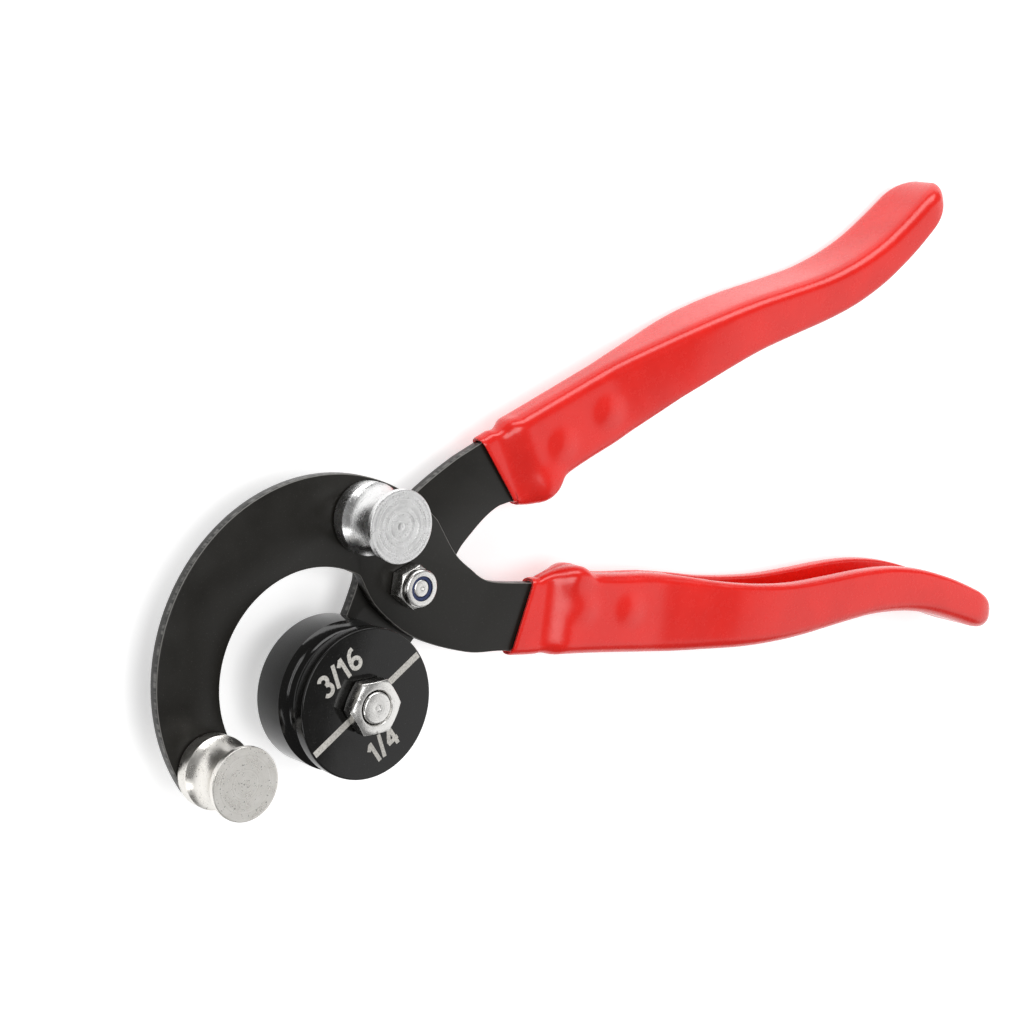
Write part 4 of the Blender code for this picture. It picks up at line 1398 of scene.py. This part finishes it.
@dataclass(frozen=True)
class Fasteners:
    """Pivot bolt with its lock nut, the die's bolt and nut, and every washer."""

    measures: Measures
    pivot_hex: Hexagon = Hexagon(10.0 * MM, math.radians(12.0))
    die_hex: Hexagon = Hexagon(13.0 * MM, math.radians(-6.0))
    pivot_shank: float = 3.0 * MM
    pivot_head: float = 4.0 * MM
    pivot_washer: Point2 = (6.2 * MM, 1.2 * MM)
    nut_hex: float = 4.2 * MM
    nut_collar: float = 2.0 * MM
    collar_radius: float = 4.9 * MM
    collar_round: float = 0.9 * MM
    ring_wall: float = 0.85 * MM
    ring_fit: float = 0.05 * MM
    ring_height: float = 0.9 * MM
    pivot_point: Point2 = (0.76, 1.3 * MM)
    die_shank: float = 4.0 * MM
    die_head: float = 5.3 * MM
    die_washer: Point2 = (8.0 * MM, 1.4 * MM)
    die_nut: float = 4.0 * MM
    roller_washer: Point2 = (6.0 * MM, 1.0 * MM)
    roller_shank: float = 4.0 * MM
    washer_round: float = 0.18 * MM
    die_front: float = 17.0 * MM

    def zinc(self, name: str, centre: Vector, pits: float = 0.35) -> Turned:
        """Zinc plate about an axis.

        Args:
            name: Name of the finish.
            centre: The axis.
            pits: How pitted it is.

        Returns:
            The finish.
        """
        return Turned(name, "zinc_plate", self.measures.world(centre), pit_share=pits, ring_share=0.45,
                      gloss=(0.18, 0.32), dark=grey(0.52, 0.04), light=grey(0.90, 0.02))

    def washer(self, name: str, centre: Vector, bore: float, size: Point2, low: float, body: Body) -> None:
        """Flat washer with rounded rims.

        Args:
            name: CAD node that it stands for.
            centre: Its axis.
            bore: Radius of its hole.
            size: Its radius and thickness.
            low: Its back face.
            body: The body it moves with.
        """
        high = low + size[1]
        inner = (bore, (low + high) / 2)
        outline = [inner] + rounded([inner, (bore, high), (size[0], high), (size[0], low), (bore, low),
                                     inner], self.washer_round)
        item = TURN.make(name + "_plated", centre, outline, 72)
        self.measures.settle(item, self.zinc(name, centre), body, [name])

    def bolt(self, name: str, centre: Vector, hexagon: Hexagon, shank: float, head: float,
             under_head: float, top: float, body: Body, point: Point2 = (1.0, 0.0)) -> None:
        """Bolt that points up through its joint.

        Args:
            name: CAD node that it stands for.
            centre: Its axis.
            hexagon: Its head.
            shank: Radius of the shank.
            head: Height of the head.
            under_head: Where the head ends and the shank starts.
            top: End of the shank.
            body: The body it moves with.
            point: Share of the shank's radius left at its end, and how long that end is.
        """
        block = hexagon.block(name + "_plated", centre, under_head - head, under_head, (True, False))
        tip, cup = shank / 12, 0.06 * MM
        end = shank * point[0]
        profile = [(0.0, under_head - head / 2), (shank, under_head - head / 2)]
        if point[1]:
            profile += [(shank, top - point[1]), (end, top - point[1])]
        profile += [(end, top - tip), (end - tip, top), (end * 0.24, top), (end * 0.20, top - cup),
                    (end * 0.10, top - cup / 2), (0.0, top - cup / 2)]
        stem = TURN.make("stem", centre, rounded(profile, 0.15 * MM, 2), 72)
        combine(block, [stem], "UNION")
        self.measures.settle(block, self.zinc(name, centre), body, [name])

    def pivot(self) -> None:
        """Pivot bolt, washer, lock nut and nylon ring."""
        at, gap, origin = self.measures, self.measures.gap, Vector((0.0, 0.0))
        washer_low = at.rear_back - gap - self.pivot_washer[1]
        hex_top = gap + self.nut_hex
        top = hex_top + self.nut_collar
        thread = self.pivot_shank + gap
        ring_in = self.pivot_shank * self.pivot_point[0] + self.ring_fit
        ring_out = ring_in + self.ring_wall
        ring_top = top - gap
        ring_low = ring_top - self.ring_height
        self.washer("pivot_washer", origin, thread, self.pivot_washer, washer_low, Body.FRONT)
        self.bolt("pivot_bolt", origin, self.pivot_hex, self.pivot_shank, self.pivot_head, washer_low - gap,
                  ring_top, Body.FRONT, self.pivot_point)
        nut = self.pivot_hex.block("pivot_lock_nut_plated", origin, gap, hex_top, (False, True))
        collar = rounded([(0.0, gap + MM), (self.collar_radius, gap + MM), (self.collar_radius, top),
                          (0.0, top)], self.collar_round, 8)
        combine(nut, [TURN.make("collar", origin, collar, 96)], "UNION")
        combine(nut, [rod(origin, thread, gap - MM, ring_low - gap / 3),
                      rod(origin, ring_out + gap / 6, ring_low - gap, top + MM)], "DIFFERENCE")
        at.settle(nut, self.zinc("pivot_lock_nut", origin, 0.5), Body.FRONT, ["pivot_lock_nut"])
        ring = TURN.make("pivot_nut_ring_nylon", origin, [(ring_in, ring_low), (ring_out, ring_low),
                                                          (ring_out, ring_top), (ring_in, ring_top),
                                                          (ring_in, ring_low)], 72)
        nylon = Plain("blue_nylon", "blue_nylon", (0.008, 0.018, 0.075, 1.0), (0.014, 0.030, 0.11, 1.0))
        at.settle(soften(ring, 0.15 * MM), nylon, Body.FRONT, ["pivot_nut_ring"])

    def die(self) -> None:
        """Bolt, washer and thin nut that hold the die."""
        at, gap = self.measures, self.measures.gap
        washer_low = at.rear_back - gap - self.die_washer[1]
        low = self.die_front + gap
        high = low + self.die_nut
        bore = self.die_shank + gap
        self.washer("die_washer", at.die, bore, self.die_washer, washer_low, Body.REAR)
        self.bolt("die_bolt", at.die, self.die_hex, self.die_shank, self.die_head, washer_low - gap,
                  high + gap, Body.REAR)
        nut = self.die_hex.block("die_nut_plated", at.die, low, high, (True, True))
        cone = TURN.make("cone", at.die, [(0.0, high - 0.9 * MM), (bore - 0.1 * MM, high - 0.5 * MM),
                                          (bore + 0.3 * MM, high + 0.01 * MM), (bore + 0.3 * MM, high + MM),
                                          (0.0, high + MM)], 96)
        combine(nut, [rod(at.die, bore, low - MM, high + MM), cone], "DIFFERENCE")
        at.settle(nut, self.zinc("die_nut", at.die, 0.25), Body.DIE_NUT, ["die_nut"])

    def rollers(self) -> None:
        """Washers behind both rollers."""
        at = self.measures
        low = -at.plate - at.gap - self.roller_washer[1]
        for name, centre in (("upper_roller_washer", at.upper_roller),
                             ("lower_roller_washer", at.lower_roller)):
            self.washer(name, centre, self.roller_shank + at.gap, self.roller_washer, low, Body.FRONT)

    def build(self) -> None:
        """Build and place them all."""
        self.pivot()
        self.die()
        self.rollers()


# ---- rollers and die


@dataclass(frozen=True)
class Roller:
    """Grooved roller with the journal that turns in the front arm."""

    name: str
    body: Body
    centre: Vector
    face: Face
    measures: Measures
    radius: float = 9.25 * MM
    length: float = 16.0 * MM
    waist: float = 6.9 * MM
    rear_flange: float = 3.9 * MM
    front_flange: float = 1.3 * MM
    shank: float = 4.0 * MM
    washer: float = 1.0 * MM
    peen_radius: float = 5.2 * MM
    peen: float = 1.1 * MM
    peened: Table = ((0.0, 1.0), (0.55, 0.96), (0.85, 0.66), (1.0, 0.12), (0.98, 0.0))
    rim: float = 0.32 * MM
    groove_steps: int = 30
    dent: float = 0.28
    steps: int = 128

    def end_face(self, top: float) -> list[Point2]:
        """Front face from its rim to its middle.

        Args:
            top: Its height.

        Returns:
            (radius, height) points.
        """
        if self.face is Face.FLAT:
            dents = ((0.93, 0.00), (0.90, 0.02), (0.30, 0.03), (0.05, 0.03))
        else:
            dents = ((0.93, 0.00), (0.90, 0.05), (0.885, 0.11), (0.87, 0.05), (0.74, 0.06), (0.725, 0.13),
                     (0.71, 0.07), (0.56, 0.08), (0.545, 0.15), (0.53, 0.09), (0.37, 0.10), (0.355, 0.17),
                     (0.34, 0.11), (0.15, 0.13), (0.11, 0.20), (0.095, 0.14), (0.075, 0.02), (0.03, 0.00))
        soft = self.dent * MM
        dents += ((0.0, dents[-1][1]),)
        return [(self.radius * share, top - depth * soft) for share, depth in dents]

    def profile(self) -> list[Point2]:
        """Half section from the riveted end of the journal to the front face.

        Returns:
            (radius, height) points.
        """
        low = self.measures.gap
        top = low + self.length
        back = -self.measures.plate - 2 * self.measures.gap - self.washer
        groove_low, groove_high = low + self.rear_flange, top - self.front_flange
        middle, half = (groove_low + groove_high) / 2, (groove_high - groove_low) / 2
        rim = self.rim
        points = [(self.peen_radius * share, back - self.peen * rise) for share, rise in self.peened]
        points += [(self.shank, back), (self.shank, low)]
        points += rounded([(self.shank, low), (self.radius, low), (self.radius, groove_low - rim)],
                          rim * 1.6)[1:]
        sink = self.radius - self.waist
        sweep_radius = (half * half + sink * sink) / (2 * sink)
        reach = math.asin(half / sweep_radius)
        for k in range(self.groove_steps + 1):
            swing = reach * (2 * k / self.groove_steps - 1)
            points.append((self.waist + sweep_radius * (1 - math.cos(swing)),
                           middle + sweep_radius * math.sin(swing)))
        points += rounded([(self.radius, top - self.front_flange + rim / 3), (self.radius, top),
                           (self.radius * 0.95, top)], rim)[1:]
        return points + self.end_face(top)

    def build(self) -> None:
        """Build and place the roller."""
        item = TURN.make(self.name + "_turned", self.centre, self.profile(), self.steps)
        axis = self.measures.world(self.centre)
        ringed = self.face is Face.RINGED
        finish = Turned(self.name, "zinc_plate", axis, dark=grey(0.50, 0.01 if ringed else 0.10),
                        light=grey(0.93, 0.0 if ringed else 0.03),
                        gloss=(0.18, 0.32) if ringed else (0.24, 0.38), ring_share=1.8 if ringed else 0.8,
                        pit_share=0.45 if ringed else 0.75, depth=0.03 * MM)
        self.measures.settle(item, finish, self.body, [self.name])


def bow(centre: Point2, radius: float, start: float, stop: float) -> tuple[Point2, ...]:
    """Round stroke of a numeral.

    Args:
        centre: Its middle, in heights of the numeral.
        radius: Its radius.
        start: First direction in degrees.
        stop: Last direction.

    Returns:
        The points of the stroke.
    """
    turns = [math.radians(start + (stop - start) * k / 18) for k in range(19)]
    return tuple((centre[0] + radius * math.cos(a), centre[1] + radius * math.sin(a)) for a in turns)


@dataclass(frozen=True)
class Mark:
    """Size mark on the face of the die, drawn in plain strokes."""

    name: str
    text: str
    at: Vector
    height: float
    stroke: float = 0.18
    space: float = 0.16

    def glyph(self, letter: str) -> tuple[float, tuple[tuple[Point2, ...], ...]]:
        """Strokes of one numeral.

        Args:
            letter: The numeral or slash.

        Returns:
            Its width and its strokes, in heights of the numeral.
        """
        return {
            "1": (0.34, (((0.02, 0.68), (0.24, 0.90)), ((0.24, 0.96), (0.24, 0.0)))),
            "3": (0.50, (bow((0.22, 0.68), 0.20, 150.0, -85.0), bow((0.22, 0.27), 0.23, 85.0, -150.0))),
            "4": (0.56, (((0.40, 0.0), (0.40, 0.94)), ((0.42, 0.93), (0.04, 0.30)),
                         ((0.0, 0.27), (0.54, 0.27)))),
            "6": (0.52, (bow((0.26, 0.28), 0.22, 0.0, 360.0),
                         ((0.04, 0.30), (0.07, 0.54), (0.16, 0.76), (0.30, 0.88), (0.44, 0.90)))),
            "/": (0.26, (((0.0, -0.02), (0.28, 0.98)),)),
        }[letter]

    def ribbon(self, line: Sequence[Point2], high: float, rise: float,
               place: Callable[[Point2], Vector]) -> Item:
        """Thin flat stroke along a line.

        Args:
            line: Its points, in heights of the numeral.
            high: Height of the die's face.
            rise: How proud the stroke stands.
            place: Gives the plane place of a point.

        Returns:
            The stroke.
        """
        spots = [Vector(p) for p in line]
        rings = []
        for k, here in enumerate(spots):
            along = (spots[min(k + 1, len(spots) - 1)] - spots[max(k - 1, 0)]).normalized()
            aside = Vector((-along.y, along.x)) * self.stroke / 2
            left, right = place(tuple(here + aside)), place(tuple(here - aside))
            rings.append([(left.x, left.y, high - rise), (right.x, right.y, high - rise),
                          (right.x, right.y, high + rise), (left.x, left.y, high + rise)])
        return loft(self.name, rings)

    def build(self, angle: float, high: float, rise: float) -> Item:
        """Draw the whole mark.

        Args:
            angle: Direction it reads in.
            high: Height of the die's face.
            rise: How proud the strokes stand.

        Returns:
            One object with every stroke.
        """
        total = sum(self.glyph(c)[0] + self.space for c in self.text) - self.space
        along, aside = polar(self.height, angle), polar(self.height, angle + math.pi / 2)
        pen, strokes = -total / 2, []
        for letter in self.text:
            width, lines = self.glyph(letter)
            for line in lines:
                proud = rise * (1 + len(strokes) / 4)
                strokes.append(self.ribbon(line, high, proud, lambda p, pen=pen: (
                    self.at + along * (p[0] + pen) + aside * (p[1] - 0.5))))
            pen += width + self.space
        shape = bmesh.new()
        for stroke in strokes:
            shape.from_mesh(stroke.data)
        for stroke in strokes[1:]:
            bpy.data.objects.remove(stroke, do_unlink=True)
        shape.to_mesh(strokes[0].data)
        shape.free()
        strokes[0].name = self.name
        return strokes[0]


@dataclass(frozen=True)
class Die:
    """Round forming die with a groove for each tube size on either half."""

    measures: Measures
    radius: float = 19.0 * MM
    thickness: float = 20.0 * MM
    groove_height: float = 10.3 * MM
    edge: float = 0.5 * MM
    line_angle: float = math.radians(26.0)
    mouth: float = 3.55 * MM
    small: Point2 = (2.38 * MM, 3.0 * MM)
    large: Point2 = (3.18 * MM, 4.2 * MM)
    bore: float = 4.3 * MM
    line_width: float = 1.75 * MM
    mark_rise: float = 0.02 * MM
    half_turn: float = 75.0
    overlap: float = math.radians(3.0)

    def groove(self, tube: Point2, start: float, sweep: float) -> Item:
        """Half ring that cuts one groove.

        Args:
            tube: Radius of the tube and depth of the groove.
            start: Direction of its first end.
            sweep: How far it goes round.

        Returns:
            The cutter.
        """
        round_radius, depth = tube
        root = self.radius - depth + round_radius
        middle, out = self.groove_height, self.radius + 4 * MM
        outline = [(out, middle - self.mouth), (self.radius, middle - self.mouth)]
        for k in range(17):
            swing = math.radians(-self.half_turn + 2 * self.half_turn * k / 16)
            outline.append((root - round_radius * math.cos(swing), middle + round_radius * math.sin(swing)))
        outline += [(self.radius, middle + self.mouth), (out, middle + self.mouth), outline[0]]
        return TURN.make("groove", self.measures.die, outline, 72, start, sweep)

    def body(self) -> Item:
        """Turned die with both grooves.

        Returns:
            The die.
        """
        low = self.measures.rear_front + self.measures.gap
        high = low + self.thickness
        outside = rounded([(0.0, low), (self.radius, low), (self.radius, high), (0.0, high)], self.edge, 5)
        die = TURN.make("bending_die_turned", self.measures.die, outside, 180)
        cutters = [self.groove(self.small, self.line_angle - self.overlap, math.pi + 2 * self.overlap),
                   self.groove(self.large, self.line_angle + math.pi, math.pi),
                   rod(self.measures.die, self.bore, low - MM, high + MM)]
        return combine(die, cutters, "DIFFERENCE")

    def marks(self, high: float) -> list[Item]:
        """Start line and the two tube sizes.

        Args:
            high: Height of the die's face.

        Returns:
            The marks as plain meshes.
        """
        centre = self.measures.die
        along, aside = polar(1.0, self.line_angle), polar(1.0, self.line_angle + math.pi / 2)
        reach, half = self.radius - self.edge, self.line_width / 2
        corners = [centre + along * a + aside * b
                   for a, b in ((-reach, -half), (reach, -half), (reach, half), (-reach, half))]
        made = [loft("die_mark_line", [[(p.x, p.y, high - MM / 4) for p in corners],
                                       [(p.x, p.y, high + self.mark_rise) for p in corners]])]
        for mark in (Mark("die_mark_small", "3/16", Vector((-34.0, -9.9)) * MM, 6.1 * MM),
                     Mark("die_mark_large", "1/4", Vector((-24.1, -31.4)) * MM, 6.0 * MM)):
            made.append(mark.build(self.line_angle, high, self.mark_rise))
        return made

    def build(self) -> None:
        """Build and place the die and its marks."""
        axis = self.measures.world(self.measures.die)
        black = Turned("black_die", "black_die", axis, dark=grey(0.003, 0.08), light=grey(0.006, 0.08),
                       metal=0.0, gloss=(0.09, 0.15), ring_share=0.4, pit_share=0.12,
                       pit_colour=grey(0.10), depth=0.010 * MM)
        self.measures.settle(self.body(), black, Body.DIE, ["bending_die"])
        paint = Plain("mark_fill", "black_die", grey(0.56, 0.07), grey(0.34, 0.07), gloss=(0.55, 0.75),
                      rate=2600.0)
        for item in self.marks(self.measures.rear_front + self.measures.gap + self.thickness):
            self.measures.settle(item, paint, Body.DIE, [])


# ---- studio


@dataclass(frozen=True)
class Softbox:
    """Large soft lamp aimed at the tool."""

    name: str
    place: tuple[float, float, float]
    size: Point2
    watts: float

    def build(self, target: Vector) -> Item:
        """Hang the lamp.

        Args:
            target: What it is aimed at.

        Returns:
            The lamp.
        """
        lamp = bpy.data.lights.new(self.name, "AREA")
        lamp.shape = "RECTANGLE"
        lamp.size, lamp.size_y = self.size
        lamp.energy = self.watts
        item = linked(self.name, lamp)
        item.location = Vector(self.place)
        item.rotation_euler = (target - item.location).to_track_quat("-Z", "Y").to_euler()
        return item


@dataclass(frozen=True)
class Studio:
    """Floor, surround, lamps and camera."""

    measures: Measures
    lens: float = 94.92
    eye: tuple[float, float, float] = (-366.39, 199.44, 539.07)
    right: tuple[float, float, float] = (0.781185, -0.098686, 0.616451)
    up: tuple[float, float, float] = (0.243310, 0.957476, -0.155049)
    back: tuple[float, float, float] = (-0.574936, 0.271110, 0.771977)
    floor_reach: float = 4.0
    lift: float = 0.42
    surround: float = 0.24
    lamps: tuple[Softbox, ...] = (
        Softbox("key", (0.35, 1.15, 0.62), (1.5, 0.55), 11.5),
        Softbox("top", (-0.25, 0.15, 1.25), (0.7, 0.7), 7.0),
        Softbox("fill", (1.13, -0.54, 0.75), (1.5, 1.5), 6.8),
        Softbox("side", (-1.20, -0.55, 0.55), (0.35, 0.9), 3.0),
    )

    def floor(self) -> None:
        """Plain pale floor under the tool."""
        far = self.floor_reach
        corners = [(-far, -far, 0.0), (far, -far, 0.0), (far, far, 0.0), (-far, far, 0.0)]
        item = mesh_object("floor", corners, [(0, 1, 2, 3)])
        if item.data.polygons[0].normal.z < 0.0:
            item.data.flip_normals()
        item.location.z = min(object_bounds()[0].z, 0.0) - 0.05 * MM
        paint = Plain("floor", "floor", grey(0.93), grey(0.92), gloss=(0.85, 0.9), rate=6.0).material()
        graph = Graph(paint.node_tree)
        path = graph.add("ShaderNodeLightPath").outputs
        seen = graph.math("MAXIMUM", path["Is Camera Ray"], path["Is Glossy Ray"])
        graph.feed(paint.node_tree.nodes["Principled BSDF"], {
            "Emission Color": grey(1.0), "Emission Strength": graph.math("MULTIPLY", seen, self.lift)})
        item.data.materials.append(paint)
        item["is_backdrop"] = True

    def sky(self) -> None:
        """Even pale surround, white where the camera sees it."""
        world = bpy.data.worlds.new("surround")
        bpy.context.scene.world = world
        world.use_nodes = True
        graph = Graph(world.node_tree)
        world.node_tree.nodes.clear()
        seen = graph.add("ShaderNodeLightPath").outputs["Is Camera Ray"]
        shade = graph.add("ShaderNodeBackground", {"Color": grey(self.surround), "Strength": 1.0})
        white = graph.add("ShaderNodeBackground", {"Color": grey(1.0), "Strength": 1.0})
        mixed = graph.add("ShaderNodeMixShader", {0: seen, 1: shade.outputs[0], 2: white.outputs[0]})
        graph.add("ShaderNodeOutputWorld", {0: mixed.outputs[0]})

    def camera(self) -> None:
        """Camera from its place about the pivot."""
        lens = bpy.data.cameras.new("camera")
        lens.lens = self.lens
        lens.sensor_width = 36.0
        lens.clip_start, lens.clip_end = 0.01, 20.0
        item = linked("camera", lens)
        axes = Matrix((self.right, self.up, self.back)).transposed().to_4x4()
        origin = Vector((self.measures.pivot.x, self.measures.pivot.y, self.measures.front))
        item.matrix_world = Matrix.Translation(origin + Vector(self.eye) * MM) @ axes
        bpy.context.scene.camera = item

    def build(self) -> None:
        """Set the whole studio."""
        self.floor()
        self.sky()
        for lamp in self.lamps:
            lamp.build(Vector((0.0, 0.0, 0.01)))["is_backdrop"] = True
        self.camera()
        bpy.context.scene.view_settings.view_transform = "Standard"
        log.info("studio set")


# ---- the whole tool


def dress_kept(frame: dict) -> None:
    """Give the CAD nodes that stay a better finish.

    Args:
        frame: The loaded frame.
    """
    steel = Plain("bare_steel", "bare_steel", grey(0.40), grey(0.26), 1.0, (0.30, 0.46), 900.0)
    for name, node in frame["nodes"].items():
        if node.hide_render:
            continue
        for holder in node.material_slots:
            holder.material = steel.material()
        log.info("%s: kept and dressed", name)


def main() -> None:
    """Build the tool and its studio over the frame."""
    logging.basicConfig(level=logging.INFO, format="%(message)s")
    for item in list(bpy.data.objects):
        bpy.data.objects.remove(item, do_unlink=True)
    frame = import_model()
    at = Measures.from_frame()
    upper = Handle("upper", 1, back=4.2 * MM, out=1.8 * MM, mid=at.rear_front - at.plate / 2,
                   mouth=(0.199, 0.184), rivets=(0.282, 0.359), shortened=4.5 * MM, lump=1.3 * MM,
                   beading=1.0 * MM, fuller=(0.4 * MM, 0.3 * MM))
    lower = Handle("lower", -1, back=0.0, out=0.0, mid=-at.plate / 2, mouth=(0.1855, 0.1630),
                   rivets=(0.2585, 0.332), shortened=1.9 * MM, lump=0.0, beading=0.4 * MM,
                   fuller=(0.7 * MM, 1.3 * MM))
    vinyl = Vinyl("red_vinyl", "red_vinyl")
    at.settle(upper.grip(), vinyl, Body.REAR, ["upper_grip"])
    at.settle(lower.grip(), vinyl, Body.FRONT, ["lower_grip"])
    Arms(at, upper, lower).build()
    Fasteners(at).build()
    Roller("upper_roller", Body.UPPER_ROLLER, at.upper_roller, Face.RINGED, at).build()
    Roller("lower_roller", Body.LOWER_ROLLER, at.lower_roller, Face.FLAT, at).build()
    Die(at).build()
    dress_kept(frame)
    Studio(at).build()


if __name__ == "__main__":
    main()
